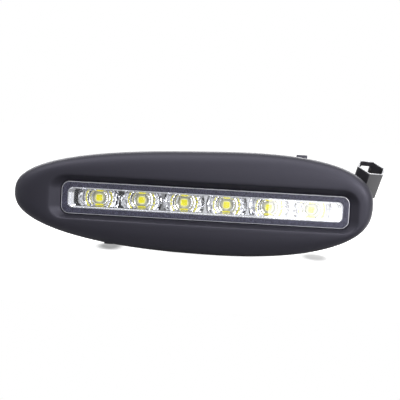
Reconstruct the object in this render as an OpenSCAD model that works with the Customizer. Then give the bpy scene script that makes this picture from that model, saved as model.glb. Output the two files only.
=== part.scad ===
// Daytime running light: an egg-shaped moulded bezel with a slot, and behind it a sealed
// strip of LEDs in faceted chrome bowls, a finned heat sink, a driver box with a hexagonal
// plug socket, and two steel bridge brackets that bolt the lamp to the car.
//
// X runs along the light strip, to the right as seen from the road. Y runs from the road
// into the car, so the lit face looks along -Y. Z is up. The origin lies midway between
// the two bolt holes, on the face of the brackets that seats on the car.

/* [Bezel outline] */
// Length of the egg-shaped outline
bezel_l = 239.4; // [225:0.2:290]
// Height of the outline
bezel_h = 68.6; // [64:0.2:90]
// Squareness of the outline, where 2 is an ellipse
outline_power = 2.47; // [2:0.01:3]
// How much fatter the right half is than the left half
outline_taper = 0.12; // [0:0.01:0.2]
// How far both tips are bent up
outline_bend = 2.5; // [0:0.1:5]
// Turn of the outline against the strip, in degrees
outline_turn = 0.7; // [0:0.1:2]
// How far the outline's middle lies to the left of the strip's middle
outline_shift = 7.8; // [0:0.1:9]
// How far the outline's middle lies above the strip's middle
outline_rise = 0.8; // [0:0.1:3]

/* [Bezel section] */
// Depth of the crown in front of the rim
crown = 12; // [10:0.1:18]
// Squareness of the crown's section, where 2 is an ellipse
crown_power = 2.8; // [2:0.05:4]
// How far the crown falls back towards the ends of the slot
crown_sweep = 1.5; // [0:0.1:3]
// Wall of the bezel
bezel_wall = 2.5; // [2:0.1:3]
// Width of the sloping recess above the slot
recess_top = 4.4; // [3:0.1:6]
// Width of the sloping recess below the slot
recess_bottom = 3.2; // [2.5:0.1:6]
// Width of the sloping recess left of the slot
recess_left = 8; // [4:0.1:10]
// Width of the sloping recess right of the slot
recess_right = 6; // [4:0.1:8]
// Rounding where the recess meets the crown
recess_roll = 1.6; // [0.8:0.1:2]
// Thickness of the lip around the slot
lip_t = 2.4; // [1.6:0.1:3]
// Width of the flat that the housing seats on, behind the lip
lip_w = 3; // [2:0.1:4]

/* [Lens] */
// Distance from the tips of the outline to the ends of the lens
end_margin = 23.7; // [22:0.1:26]
// Height of the lens as a share of the outline's height
lens_share = 0.3207; // [0.31:0.0001:0.34]
// Corner radius of the lens
lens_r = 5.6; // [4:0.1:7]
// Thickness of the lens
lens_t = 3.2; // [2.8:0.1:4]
// How far the lens front lies behind the crown
lens_recess = 5; // [3:0.1:6]
// How far the lens stands out of the slot
lens_proud = 0.8; // [0.5:0.1:1.2]
// Rolled front edge of the lens
lens_roll = 0.9; // [0.4:0.1:1.2]
// Width of the grained border at the ends of the lens
border_end = 4.75; // [4:0.05:6]
// Width of the grained border above and below the window
border_side = 4.5; // [4.2:0.05:5]
// How far the clear window stands out of the border
window_rise = 0.25; // [0.1:0.05:0.5]
// Corner radius of the clear window
window_r = 3.4; // [2:0.1:5]
// Depth of the step round the window at the back of the lens
window_step = 0.5; // [0.3:0.1:0.8]
// Width of the tongue that seals the lens
tongue_w = 1.2; // [0.8:0.1:1.3]
// Height of the tongue
tongue_t = 1.6; // [1:0.1:2]

/* [Reflector] */
// Wall of the reflector round the window
reflector_wall = 1; // [0.8:0.1:1.2]
// Depth of the trough's flat floor between the bowls
flat_depth = 3; // [2:0.1:4]
// Run of the trough's sloped walls above and below the bowls
side_slope = 0.8; // [0.4:0.1:1.2]
// Run of the trough's sloped walls at its ends
end_slope = 3.7; // [2:0.1:4]
// Depth of a bowl behind the flats
bowl_depth = 6.6; // [5:0.1:8]
// Width of the land that parts two bowls
bowl_land = 0.9; // [0.4:0.1:2]
// Radius of the hole for the LED
led_hole_r = 4.3; // [4.1:0.1:4.6]
// Floor of the reflector under the bowls
reflector_floor = 0.8; // [0.6:0.1:1.5]

/* [LEDs] */
// Length of the window left over beyond the outermost LED cells
cell_margin = 5.75; // [5:0.05:7]
// Radius of an LED's body
led_r = 3.9; // [3.4:0.1:4]
// Thickness of an LED's body
led_t = 1.6; // [1.2:0.1:1.8]
// Radius of an LED's clear dome
dome_r = 2.9; // [2.6:0.1:3.2]
// Side of the square phosphor plate
chip_w = 3; // [2:0.1:3.2]
// Thickness of the phosphor plate
chip_t = 0.4; // [0.2:0.1:0.6]
// How far the LED board reaches past the window at its ends
board_end = 2.75; // [2.2:0.05:3]
// How far the LED board reaches past the window above and below
board_side = 2.5; // [2:0.05:2.7]
// Thickness of the board that carries the LEDs
board_t = 1.6; // [1:0.1:2]
// Thickness of the heat-conducting pad
pad_t = 0.5; // [0.3:0.1:1]

/* [Housing] */
// How far the housing reaches past the lens at its ends
housing_end = 5; // [4.5:0.1:6]
// How far the housing reaches past the lens above and below
housing_side = 4; // [3.8:0.1:4.4]
// Corner radius of the housing
housing_r = 8; // [6:0.1:9]
// Thickness of the ears that the housing is screwed on by
ear_t = 3; // [2.4:0.1:3.4]
// Radius of an ear
ear_r = 4.8; // [4.6:0.1:5.4]
// Distance from the bracket's leg out to an ear's screw
ear_out = 3.1; // [2.9:0.1:3.6]
// Gap between the rim plane and the ears
ear_back = 1; // [0.5:0.1:2]
// Width of the seal in its groove
seal_w = 1.2; // [1:0.1:1.3]
// Depth of the seal's groove
seal_t = 1.2; // [0.8:0.1:1.4]

/* [Heat sink] */
// Thickness of the heat sink's plate
sink_t = 3; // [2.4:0.1:4]
// Length of a cooling fin behind the plate
fin_d = 13; // [8:0.5:14]
// Thickness of a cooling fin
fin_t = 1.4; // [1:0.1:2]
// Distance between two fins
fin_pitch = 5.6; // [4.5:0.1:8]
// Margin of the plate above and below the fins
fin_margin = 4; // [4:0.1:7]

/* [Driver box] */
// Length of the driver box
box_l = 52; // [48:0.5:54]
// Margin of the plate above and below the driver box
box_side = 5; // [5:0.1:5.5]
// Margin of the plate right of the driver box
box_end = 3; // [2.5:0.1:5]
// Depth of the driver box
box_d = 14; // [13:0.5:16]
// Wall of the driver box
box_wall = 2; // [1.6:0.1:2.4]

/* [Plug socket] */
// Radius of the hexagonal shell across its corners
shell_r = 10.4; // [10:0.1:11]
// Wall of the shell
shell_wall = 1.3; // [1:0.1:1.8]
// Length of the shell
shell_l = 19; // [17:0.1:21]
// Thickness of the shell's floor
shell_floor = 2; // [1.5:0.1:3]
// Lean of the shell to the right, in degrees
shell_lean = 13; // [5:0.5:18]
// Tilt of the shell towards the road, in degrees
shell_tilt = 24; // [15:0.5:28]
// Distance from the driver box to the middle of the shell's floor
elbow_out = 8.6; // [8:0.1:11]
// Height of the shell's floor above the spigot
elbow_rise = 13.5; // [12:0.1:16]
// Radius of the spigot that plugs into the driver box
spigot_r = 3.5; // [3:0.1:3.6]
// Width of the latch window in the shell
latch_w = 7; // [5:0.1:7.5]
// Height of the latch window
latch_h = 8.5; // [6:0.1:9]
// Width of the shell's rim above the latch window
latch_rim = 3.5; // [2.5:0.1:5]

/* [Brackets and screws] */
// Distance from the housing's ends to the bolt holes
bolt_in = 49; // [47:0.5:52]
// Radius of a bolt hole
bolt_r = 2.75; // [2.6:0.05:3.3]
// Distance from the rim plane to the car
mount_d = 36; // [34:0.5:42]
// Width of a bracket
bracket_w = 14; // [12:0.5:16]
// Gap between the housing and a bracket's legs
leg_gap = 1.4; // [1:0.1:2]
// Thickness of a bracket's steel
bracket_t = 2; // [1.5:0.1:2.2]
// Radius of the screws' shanks
screw_r = 1.5; // [1.3:0.05:1.6]

/* [Snap arms and feet] */
// Distance from the bolt holes out to the snap arms
snap_out = 11; // [11:0.5:14]
// Width of a snap arm
snap_w = 7; // [5:0.5:7]
// Thickness of a snap arm
snap_t = 2; // [1.6:0.1:2.4]
// Length of a snap arm behind the rim
snap_l = 12; // [10:0.5:16]
// How far a snap hook stands past the outline
snap_reach = 1.4; // [0.5:0.1:2]
// Distance from the strip's middle to the left foot
foot_left = 20; // [16:0.5:24]
// Distance from the strip's middle to the right foot
foot_right = 30; // [26:0.5:32]
// Width of a foot
foot_w = 9; // [6:0.5:10]
// Length of a foot behind the rim
foot_l = 19; // [17:0.5:22]
// Thickness of the ribs behind the face
rib_t = 1.2; // [1:0.1:1.6]

/* [Hidden] */
$fn = 48;
LED_COUNT = 6;
fit_gap = 0.3;
lens_gap = 0.4;
thin = 0.01;

// Stations along Y, from the car towards the road
rim_y = -mount_d;
crest_y = rim_y - crown;
lens_y = crest_y + lens_recess;
lip_y = lens_y + lens_proud;
seat_y = lens_y + lens_t;
reflector_y = seat_y + lens_gap;
flat_y = reflector_y + flat_depth;
bowl_y = flat_y + bowl_depth;
board_y = bowl_y + reflector_floor;
pad_y = board_y + board_t;
sink_y = pad_y + pad_t;
sink_back_y = sink_y + sink_t;
box_back_y = sink_back_y + box_d;
ear_y = rim_y + ear_back;
ear_back_y = ear_y + ear_t;
foot_back_y = ear_back_y + bracket_t;

// Sizes along the strip, from the outline inwards to the LEDs
lens_l = bezel_l - 2*end_margin;
lens_h = bezel_h*lens_share;
window_l = lens_l - 2*border_end;
window_h = lens_h - 2*border_side;
led_pitch = (window_l - 2*cell_margin)/LED_COUNT;
bowl_r = (led_pitch - bowl_land)/2;
board_l = window_l + 2*board_end;
board_h = window_h + 2*board_side;
housing_l = lens_l + 2*housing_end;
housing_h = lens_h + 2*housing_side;
bolt_span = housing_l - 2*bolt_in;
leg_z = housing_h/2 + leg_gap;
ear_z = leg_z + bracket_t + ear_out;
fin_h = housing_h - 2*fin_margin;
box_h = housing_h - 2*box_side;

// Slot in the bezel
slot_l = lens_l + 2*fit_gap;
slot_h = lens_h + 2*fit_gap;
slot_r = lens_r + fit_gap;

// Outline of the reflector, and of the openings in the housing
reflector_l = window_l + 2*reflector_wall;
reflector_h = window_h + 2*reflector_wall;
reflector_r = window_r + reflector_wall;
cavity_l = board_l + 2*fit_gap;
cavity_h = board_h + 2*fit_gap;
tongue_out = 1.1;
groove_slack = 0.3;

function led_x(i) = (i - (LED_COUNT + 1)/2)*led_pitch;
function mix(a, b, t) = a + (b - a)*t;

// Egg outline

// Below zero inside the egg outline, above zero outside it
function egg(p) =
    let (
        x = p[0] + outline_shift,
        z = p[1] - outline_rise,
        u = x*cos(outline_turn) + z*sin(outline_turn),
        v = z*cos(outline_turn) - x*sin(outline_turn),
        t = u/(bezel_l/2),
        w = (v - outline_bend*t*t)/(1 + outline_taper*t)/(bezel_h/2)
    )
    pow(abs(t), outline_power) + pow(abs(w), outline_power) - 1;

// Distance from p, along direction d, to the egg outline
function reach(p, d, near = 0, far = bezel_l, steps = 26) =
    steps == 0
        ? (near + far)/2
        : let (mid = (near + far)/2)
          egg(p + mid*d) < 0
              ? reach(p, d, mid, far, steps - 1)
              : reach(p, d, near, mid, steps - 1);

// Height of the outline above (side 1) or below (side -1) the strip at x
function outline_z(x, side) = side*reach([x, 0], [0, side]);

// Starting points and directions of the bezel's sections, anticlockwise round the slot
TOP_STEPS = 26;
CORNER_STEPS = 11;
END_STEPS = 2;
function edge_rays(from, to, d, n) = [for (k = [0:n - 1]) [mix(from, to, (k + 0.5)/n), d]];
function corner_rays(c, a0, n) = [
    for (k = [0:n - 1])
        let (a = a0 + 90*(k + 0.5)/n)
        [c + slot_r*[cos(a), sin(a)], [cos(a), sin(a)]]
];
function slot_rays() =
    let (cx = slot_l/2 - slot_r, cz = slot_h/2 - slot_r)
    concat(
        edge_rays([slot_l/2, -cz], [slot_l/2, cz], [1, 0], END_STEPS),
        corner_rays([cx, cz], 0, CORNER_STEPS),
        edge_rays([cx, slot_h/2], [-cx, slot_h/2], [0, 1], TOP_STEPS),
        corner_rays([-cx, cz], 90, CORNER_STEPS),
        edge_rays([-slot_l/2, cz], [-slot_l/2, -cz], [-1, 0], END_STEPS),
        corner_rays([-cx, -cz], 180, CORNER_STEPS),
        edge_rays([-cx, -slot_h/2], [cx, -slot_h/2], [0, -1], TOP_STEPS),
        corner_rays([cx, -cz], 270, CORNER_STEPS)
    );

// Width of the recess in direction d, and depth of the crown beside the slot at x
function recess_w(d) =
    d[1]*d[1]*(d[1] > 0 ? recess_top : recess_bottom)
    + d[0]*d[0]*(d[0] > 0 ? recess_right : recess_left);
function crown_at(x) = crown - crown_sweep*pow(2*x/slot_l, 2);

// Depth of the face in front of the rim, q of the way from the recess to the rim
function face_d(h, q) = h*pow(max(0, 1 - pow(q, crown_power)), 1/crown_power);

// Height of the recess's slope at t, straight and then rolled over at the crown
function slope(t, roll) =
    let (s = 1/(1 - roll/2))
    t < 1 - roll ? s*t : s*(t - pow(t - 1 + roll, 2)/(2*roll));

FACE_STEPS = 9;
INNER_STEPS = 6;
// Closed section of the bezel: [distance from the slot, Y] from the lip over the face
// to the rim, and back along the inside
function section(w, f, h) =
    let (
        edge = 0.4,
        roll = recess_roll/f,
        inner_w = w - bezel_wall,
        inner_f = f + 1.5,
        climb = [0.45, 1 - roll, 1 - roll/2, 1]
    )
    concat(
        [[0, lip_y + lip_t], [0, lip_y + edge], [edge, lip_y]],
        [for (t = climb) [mix(edge, f, t), mix(lip_y, rim_y - h, slope(t, roll))]],
        [for (k = [1:FACE_STEPS])
            let (q = pow(sin(90*k/FACE_STEPS), 2/crown_power))
            [mix(f, w, q), rim_y - face_d(h, q)]],
        [for (k = [INNER_STEPS:-1:0])
            let (q = pow(sin(90*k/INNER_STEPS), 2/crown_power))
            [mix(inner_f, inner_w, q), rim_y - face_d(h - bezel_wall, q)]],
        [[lip_w, lip_y + lip_t]]
    );

module bezel_skin() {
    rays = slot_rays();
    rings = [
        for (ray = rays)
            let (w = reach(ray[0], ray[1]))
            [for (s = section(w, recess_w(ray[1]), crown_at(ray[0][0])))
                [ray[0][0] + s[0]*ray[1][0], s[1], ray[0][1] + s[0]*ray[1][1]]]
    ];
    m = len(rings[0]);
    n = len(rings);
    points = [for (ring = rings) for (p = ring) p];
    faces = [
        for (i = [0:n - 1], j = [0:m - 1])
            let (
                a = i*m + j,
                b = i*m + (j + 1)%m,
                c = ((i + 1)%n)*m + (j + 1)%m,
                d = ((i + 1)%n)*m + j
            )
            each [[a, c, b], [a, d, c]]
    ];
    polyhedron(points, faces, convexity = 10);
}

// Depth of the crown's face above or below the strip at x, in front of the rim
function skin_d(x, z) =
    let (
        side = z > 0 ? 1 : -1,
        w = abs(outline_z(x, side)) - slot_h/2,
        f = recess_w([0, side]),
        q = (abs(z) - slot_h/2 - f)/(w - f)
    )
    face_d(crown_at(x), max(0, q));

// Snap arms: [x, side, how far the hook stands past the outline]. Two hold the bezel in
// the panel and two only guide it.
snap_x = bolt_span/2 + snap_out;
SNAPS = [
    [-snap_x, -1, snap_reach],
    [snap_x, 1, snap_reach],
    [-snap_x, 1, -fit_gap*3],
    [snap_x, -1, 0]
];
FEET_X = [-foot_left, foot_right];
// Level that the lamp stands on: the lowest point of the egg outline
floor_z = min([for (k = [-60:90]) outline_z(k*bezel_l/360, -1)]);

// A moulded arm at x on the rim's inside, with its hook standing out to z = hook_z.
// Its places along Y are shares of its length behind the rim.
module rim_arm(x, side, w, t, l, hook_z) {
    root = 5;
    bury = 0.9;
    ramp_from = 0.35;
    hook_from = 0.6;
    hook_to = 0.8;
    out = abs(outline_z(x, side)) - bezel_wall + bury;
    hook = abs(hook_z);
    translate([x - w/2, 0, 0])
        rotate([90, 0, 90])
            linear_extrude(w)
                scale([1, side])
                    polygon([
                        [rim_y - root, out - t],
                        [rim_y - root + bury, out],
                        [rim_y + l*ramp_from, out],
                        [rim_y + l*hook_from, hook],
                        [rim_y + l*hook_to, hook],
                        [rim_y + l, out - t/4],
                        [rim_y + l, out - t]
                    ]);
}

pilot_d = 8.5;
pilot_r = screw_r + 0.15;
boss_r = 3.6;
EARS = [for (x = [-1, 1], z = [-1, 1]) [x*bolt_span/2, z*ear_z]];

// Ribs across the hollow behind the face, at these shares of half the slot's length
RIBS = [-0.82, -0.3, 0, 0.3, 0.82];
RIB_STEPS = 8;

// A rib at x, let into the face's wall in front and ending level behind
module rib(x, side) {
    from = slot_h/2 + recess_w([0, side]) + 1;
    to = abs(outline_z(x, side)) - bezel_wall/2;
    back = rim_y - crown/5;
    front = [
        for (k = [0:RIB_STEPS])
            let (z = mix(from, to, sin(90*k/RIB_STEPS)))
            [min(rim_y - skin_d(x, side*z) + bezel_wall/2, back - thin), z]
    ];
    translate([x - rib_t/2, 0, 0])
        rotate([90, 0, 90])
            linear_extrude(rib_t)
                scale([1, side])
                    polygon(concat(front, [[back, to], [back, from]]));
}

module y_bore(x, z, r, y0, y1) {
    translate([x, y1, z]) rotate([90, 0, 0]) cylinder(r = r, h = y1 - y0);
}

module bezel() color([0.16, 0.16, 0.17]) {
    difference() {
        union() {
            bezel_skin();
            for (e = EARS) {
                bury = bezel_wall/2;
                y_bore(e[0], e[1], boss_r, rim_y - skin_d(e[0], e[1]) + bury, ear_y);
            }
            for (s = SNAPS) {
                z = outline_z(s[0], s[1]) + s[1]*s[2];
                rim_arm(s[0], s[1], snap_w, snap_t, snap_l, z);
            }
            for (x = FEET_X) rim_arm(x, -1, foot_w, snap_t, foot_l, floor_z);
            for (share = RIBS, side = [-1, 1]) rib(share*slot_l/2, side);
        }
        for (e = EARS) y_bore(e[0], e[1], pilot_r, ear_y - pilot_d, ear_y + thin);
    }
}

// Rounded plates that face along Y

module plate(l, h, r, y0, y1) {
    translate([0, y1, 0])
        rotate([90, 0, 0])
            linear_extrude(y1 - y0)
                offset(r) square([l - 2*r, h - 2*r], center = true);
}

module ring(l, h, r, w, y0, y1) {
    difference() {
        plate(l, h, r, y0, y1);
        plate(l - 2*w, h - 2*w, max(0.5, r - w), y0 - 1, y1 + 1);
    }
}

// Lens

module lens() color([0.86, 0.92, 0.96, 0.4]) {
    difference() {
        union() {
            hull() {
                $fn = 32;
                for (a = [0, 30, 60, 90]) {
                    inset = lens_roll*(1 - sin(a));
                    plate(lens_l - 2*inset, lens_h - 2*inset, lens_r - inset,
                          lens_y + window_rise + lens_roll*(1 - cos(a)), seat_y);
                }
            }
            plate(window_l, window_h, window_r, lens_y, lens_y + lens_t/2);
            ring(lens_l - 2*tongue_out, lens_h - 2*tongue_out, lens_r - tongue_out,
                 tongue_w, seat_y - thin, seat_y + tongue_t);
        }
        plate(window_l, window_h, window_r, seat_y - window_step, seat_y + thin);
    }
}

seal_l = lens_l - 2*tongue_out + groove_slack*2;
seal_h = lens_h - 2*tongue_out + groove_slack*2;
seal_r = lens_r - tongue_out + groove_slack;
groove_w = tongue_w + 2*groove_slack;
groove_t = tongue_t + 0.6;

module lens_seal() color([0.2, 0.2, 0.22]) {
    ring(seal_l, seal_h, seal_r, groove_w, seat_y + tongue_t, seat_y + groove_t);
}

// Reflector

BOWL_SECTORS = 24;
// Rings of a bowl: [share of the way from the LED's hole to the mouth, share of the depth].
// The outer zone spreads light, and the two inner ones stand up like teeth, at a slope that
// sends it straight ahead.
BOWL_RINGS = [
    [1.00, 0.00], [0.85, 0.19], [0.69, 0.36], [0.54, 0.50],
    [0.526, 0.30], [0.39, 0.52], [0.253, 0.74], [0.237, 0.62], [0.032, 0.95]
];
// How far a bowl's last ring lies inside the hole for the LED
bowl_lap = 0.3;
// Floor of the trough that the bowls are sunk in, and the lower strip that cuts them off
trough_h = window_h - 2*side_slope;
cell_h = trough_h - 0.4;

// A bowl's inside as a solid: rings of corners, each turned half a facet from the last,
// so that the skin between them is made of diamonds
module bowl(x) {
    rings = concat(
        [[bowl_r, flat_y - flat_depth]],
        [for (b = BOWL_RINGS) [mix(led_hole_r, bowl_r, b[0]), flat_y + b[1]*bowl_depth]],
        [[led_hole_r - bowl_lap, bowl_y]]
    );
    n = BOWL_SECTORS;
    m = len(rings);
    points = concat(
        [for (j = [0:m - 1], i = [0:n - 1])
            let (a = (i + (j > 0 && j < m - 1 ? (j%2)/2 : 0.5))*360/n)
            [x + rings[j][0]*cos(a), rings[j][1], rings[j][0]*sin(a)]]
    );
    faces = concat(
        [[for (i = [n - 1:-1:0]) i]],
        [[for (i = [0:n - 1]) (m - 1)*n + i]],
        [for (j = [0:m - 2], i = [0:n - 1])
            let (
                a = j*n + i,
                b = j*n + (i + 1)%n,
                c = (j + 1)*n + i,
                d = (j + 1)*n + (i + 1)%n,
                odd = j%2 == 1
            )
            each (odd ? [[a, b, d], [a, d, c]] : [[a, b, c], [b, d, c]])]
    );
    polyhedron(points, faces, convexity = 4);
}

BOARD_SCREWS_X = [-2*led_pitch, 0, 2*led_pitch];
board_screw_r = 1.2;
board_head_r = 2.2;
board_head_t = 1.4;

module reflector() color([0.9, 0.9, 0.93]) {
    difference() {
        plate(reflector_l, reflector_h, reflector_r, reflector_y, board_y);
        hull() {
            $fn = 32;
            plate(window_l, window_h, window_r, reflector_y - thin,
                  reflector_y);
            plate(window_l - 2*end_slope, trough_h, window_r - side_slope, flat_y - thin,
                  flat_y);
        }
        intersection() {
            for (i = [1:LED_COUNT]) bowl(led_x(i));
            plate(reflector_l, cell_h, window_r, flat_y - 1, board_y);
        }
        for (i = [1:LED_COUNT])
            y_bore(led_x(i), 0, led_hole_r, bowl_y - bowl_lap, board_y + 1);
        for (x = BOARD_SCREWS_X)
            y_bore(x, 0, board_head_r + fit_gap, board_y - board_head_t - fit_gap,
                   board_y + 1);
    }
}

// Housing

// Four screws above and four below, evenly spread
screw_in = 10;
screw_side = 2.2;
HOUSING_SCREWS = [
    for (x = [-1, -1/3, 1/3, 1], z = [-1, 1])
        [x*(housing_l/2 - screw_in), z*(housing_h/2 - screw_side)]
];
sink_screw_r = 1.25;
sink_head_r = 2.1;
sink_head_t = 1.3;
sink_screw_l = 8;
seal_edge = 0.7;
rear_seal_l = cavity_l + 2*seal_edge;
rear_seal_h = cavity_h + 2*seal_edge;

module ear_outline() {
    for (x = [-1, 1]) {
        for (z = [-1, 1]) translate([x*bolt_span/2, z*ear_z]) circle(ear_r);
        translate([x*bolt_span/2 - ear_r, -ear_z]) square([2*ear_r, 2*ear_z]);
    }
}

module housing() color([0.1, 0.1, 0.1]) {
    difference() {
        union() {
            plate(housing_l, housing_h, housing_r, seat_y, sink_y);
            translate([0, ear_back_y, 0])
                rotate([90, 0, 0])
                    linear_extrude(ear_t)
                        ear_outline();
        }
        plate(reflector_l + 2*fit_gap, reflector_h + 2*fit_gap, reflector_r + fit_gap,
              seat_y - 1, board_y + thin);
        plate(cavity_l, cavity_h, 2, board_y, sink_y + 1);
        ring(seal_l, seal_h, seal_r, groove_w, seat_y - 1, seat_y + groove_t);
        ring(rear_seal_l + 2*seal_w, rear_seal_h + 2*seal_w, 3, seal_w,
             sink_y - seal_t, sink_y + 1);
        for (e = EARS) y_bore(e[0], e[1], screw_r + fit_gap, ear_y - 1, ear_back_y + 1);
        for (p = HOUSING_SCREWS)
            y_bore(p[0], p[1], sink_screw_r + 0.1, sink_y + sink_t - sink_screw_l - 0.5,
                   sink_y + 1);
    }
}

module housing_seal() color([0.25, 0.25, 0.27]) {
    ring(rear_seal_l + 2*seal_w, rear_seal_h + 2*seal_w, 3, seal_w, sink_y - seal_t, sink_y);
}

// LED board and LEDs

module led_board() color([0.92, 0.93, 0.92]) {
    difference() {
        plate(board_l, board_h, 1.7, board_y, pad_y);
        for (x = BOARD_SCREWS_X) y_bore(x, 0, board_screw_r + 0.2, board_y - 1, pad_y + 1);
        for (z = [-1, 1]) y_bore(feed_x, z*feed_z, feed_hole_r, board_y - 1, pad_y + 1);
    }
}

module thermal_pad() color([0.45, 0.6, 0.7]) {
    difference() {
        plate(board_l - 2, board_h - 2, 1, pad_y, sink_y);
        for (x = BOARD_SCREWS_X) y_bore(x, 0, board_screw_r + 0.6, pad_y - 1, sink_y + 1);
        for (z = [-1, 1]) y_bore(feed_x, z*feed_z, feed_hole_r, pad_y - 1, sink_y + 1);
    }
}

module board_screws() color([0.7, 0.7, 0.72]) {
    for (x = BOARD_SCREWS_X) {
        y_bore(x, 0, board_head_r, board_y - board_head_t, board_y);
        y_bore(x, 0, board_screw_r, board_y - thin, sink_y + sink_t*0.7);
    }
}

led_y = board_y - led_t;

module led(i) color([0.93, 0.93, 0.9]) {
    y_bore(led_x(i), 0, led_r, led_y, board_y);
}

module led_chip(i) color([0.95, 0.85, 0.15]) {
    translate([led_x(i) - chip_w/2, led_y - chip_t, -chip_w/2]) cube([chip_w, chip_t, chip_w]);
}

module led_dome(i) color([0.95, 0.97, 1, 0.3]) {
    difference() {
        translate([led_x(i), led_y, 0]) sphere(dome_r);
        translate([led_x(i) - dome_r - 1, led_y, -dome_r - 1]) cube(2*dome_r + 2);
        translate([led_x(i) - chip_w/2 - 0.05, led_y - chip_t - 0.05, -chip_w/2 - 0.05])
            cube([chip_w + 0.1, chip_t + 1, chip_w + 0.1]);
    }
}

// Heat sink

box_x1 = housing_l/2 - box_end;
box_x0 = box_x1 - box_l;
box_mid = (box_x0 + box_x1)/2;
feed_in = 12;
feed_x = box_x0 + feed_in;
feed_z = 4;
feed_hole_r = 1.3;
fin_end = 8;
fin_gap = 6;
fin_x0 = -housing_l/2 + fin_end;
fin_x1 = box_x0 - fin_gap;
column_in = 3.2;
COVER_SCREWS = [
    for (x = [box_x0 + column_in, box_x1 - column_in], z = [-1, 1])
        [x, z*(box_h/2 - column_in)]
];
cover_screw_r = 1.25;

module heat_sink() color([0.72, 0.73, 0.75]) {
    difference() {
        union() {
            plate(housing_l, housing_h, housing_r, sink_y, sink_back_y);
            for (x = [fin_x0:fin_pitch:fin_x1])
                translate([x, sink_back_y - thin, -fin_h/2])
                    cube([fin_t, fin_d + thin, fin_h]);
        }
        for (p = HOUSING_SCREWS) {
            y_bore(p[0], p[1], sink_screw_r + 0.25, sink_y - 1, sink_back_y + 1);
            y_bore(p[0], p[1], sink_head_r + 0.3, sink_back_y, sink_back_y + fin_d + 1);
        }
        for (x = BOARD_SCREWS_X)
            y_bore(x, 0, board_screw_r + 0.1, sink_y - 1, sink_y + sink_t*0.8);
        for (z = [-1, 1]) y_bore(feed_x, z*feed_z, feed_hole_r, sink_y - 1, sink_back_y + 1);
        for (p = COVER_SCREWS)
            y_bore(p[0], p[1], cover_screw_r + 0.1, sink_y + 0.5, sink_back_y + 1);
    }
}

module heat_sink_screws() color([0.6, 0.6, 0.62]) {
    for (p = HOUSING_SCREWS) {
        y_bore(p[0], p[1], sink_head_r, sink_back_y, sink_back_y + sink_head_t);
        y_bore(p[0], p[1], sink_screw_r, sink_back_y - sink_screw_l, sink_back_y + thin);
    }
}

// Driver box

module box_plate(inset, r, y0, y1) {
    translate([box_mid, 0, 0]) plate(box_l - 2*inset, box_h - 2*inset, r, y0, y1);
}

cover_seal_t = 0.8;
cover_y = sink_back_y + cover_seal_t;
spigot_y = (cover_y + box_back_y)/2;
vent_x = box_mid + box_l/8;
vent_r = 3.4;
vent_t = 1.2;
vent_hole_r = 1.6;
column_r = 3;

module cover_seal() color([0.25, 0.25, 0.27]) {
    difference() {
        box_plate(0, 4, sink_back_y, cover_y);
        difference() {
            box_plate(box_wall, 2.5, sink_back_y - 1, cover_y + 1);
            for (p = COVER_SCREWS) y_bore(p[0], p[1], column_r, sink_back_y - 2, cover_y + 2);
        }
        for (p = COVER_SCREWS)
            y_bore(p[0], p[1], cover_screw_r + 0.2, sink_back_y - 1, cover_y + 1);
    }
}

module driver_cover() color([0.12, 0.12, 0.13]) {
    difference() {
        box_plate(0, 4, cover_y, box_back_y);
        difference() {
            box_plate(box_wall, 2.5, cover_y - 1, box_back_y - box_wall);
            for (p = COVER_SCREWS)
                y_bore(p[0], p[1], column_r, cover_y - 2, box_back_y);
        }
        for (p = COVER_SCREWS)
            y_bore(p[0], p[1], cover_screw_r + 0.2, cover_y - 1, box_back_y + 1);
        y_bore(vent_x, 0, vent_hole_r, box_back_y - box_wall - 1, box_back_y + 1);
        translate([box_x1 - box_wall - 1, spigot_y, 0])
            rotate([0, 90, 0])
                cylinder(r = spigot_r + 0.1, h = box_wall + 2);
    }
}

cover_head_r = 2.2;
cover_head_t = 1.4;

module cover_screws() color([0.6, 0.6, 0.62]) {
    for (p = COVER_SCREWS) {
        y_bore(p[0], p[1], cover_head_r, box_back_y, box_back_y + cover_head_t);
        y_bore(p[0], p[1], cover_screw_r, sink_y + 0.8, box_back_y + thin);
    }
}

driver_gap = 2.6;
driver_y = cover_y + driver_gap;
driver_t = 1.2;
driver_l = box_l - 2*box_wall - 5*column_r;
driver_h = box_h - 2*box_wall - 2*fit_gap;
post_r = 1.2;
post_edge = 1;
parts_y = driver_y + driver_t;

// The driver stands on four short posts at its corners
module driver_board() color([0.1, 0.4, 0.2]) {
    post_in = post_r + post_edge;
    wire_hole_r = 0.9;
    difference() {
        union() {
            translate([box_mid - driver_l/2, driver_y, -driver_h/2])
                cube([driver_l, driver_t, driver_h]);
            for (x = [-1, 1], z = [-1, 1])
                y_bore(box_mid + x*(driver_l/2 - post_in), z*(driver_h/2 - post_in), post_r,
                       sink_back_y, driver_y + thin);
        }
        for (z = [-1, 1])
            y_bore(box_mid - driver_l/2 + post_in + post_r, z*feed_z, wire_hole_r,
                   driver_y - 1, parts_y + 1);
    }
}

// Room behind the driver board. Its parts take their places and sizes from the board's
// length, so that they stay clear of each other.
parts_room = box_back_y - box_wall - parts_y;
coil_r = driver_l/10;
coil_t = parts_room*0.6;

module inductor() color([0.5, 0.3, 0.15]) {
    x = box_mid - driver_l*0.07;
    flange = coil_t/4;
    difference() {
        y_bore(x, 0, coil_r, parts_y, parts_y + coil_t);
        difference() {
            y_bore(x, 0, coil_r + 1, parts_y + flange, parts_y + coil_t - flange);
            y_bore(x, 0, coil_r*0.8, parts_y, parts_y + coil_t);
        }
    }
}

can_r = driver_l/17;

module capacitors() color([0.25, 0.3, 0.5]) {
    for (z = [-1, 1])
        y_bore(box_mid + driver_l*0.13, z*can_r*1.6, can_r, parts_y, parts_y + coil_t);
}

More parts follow.
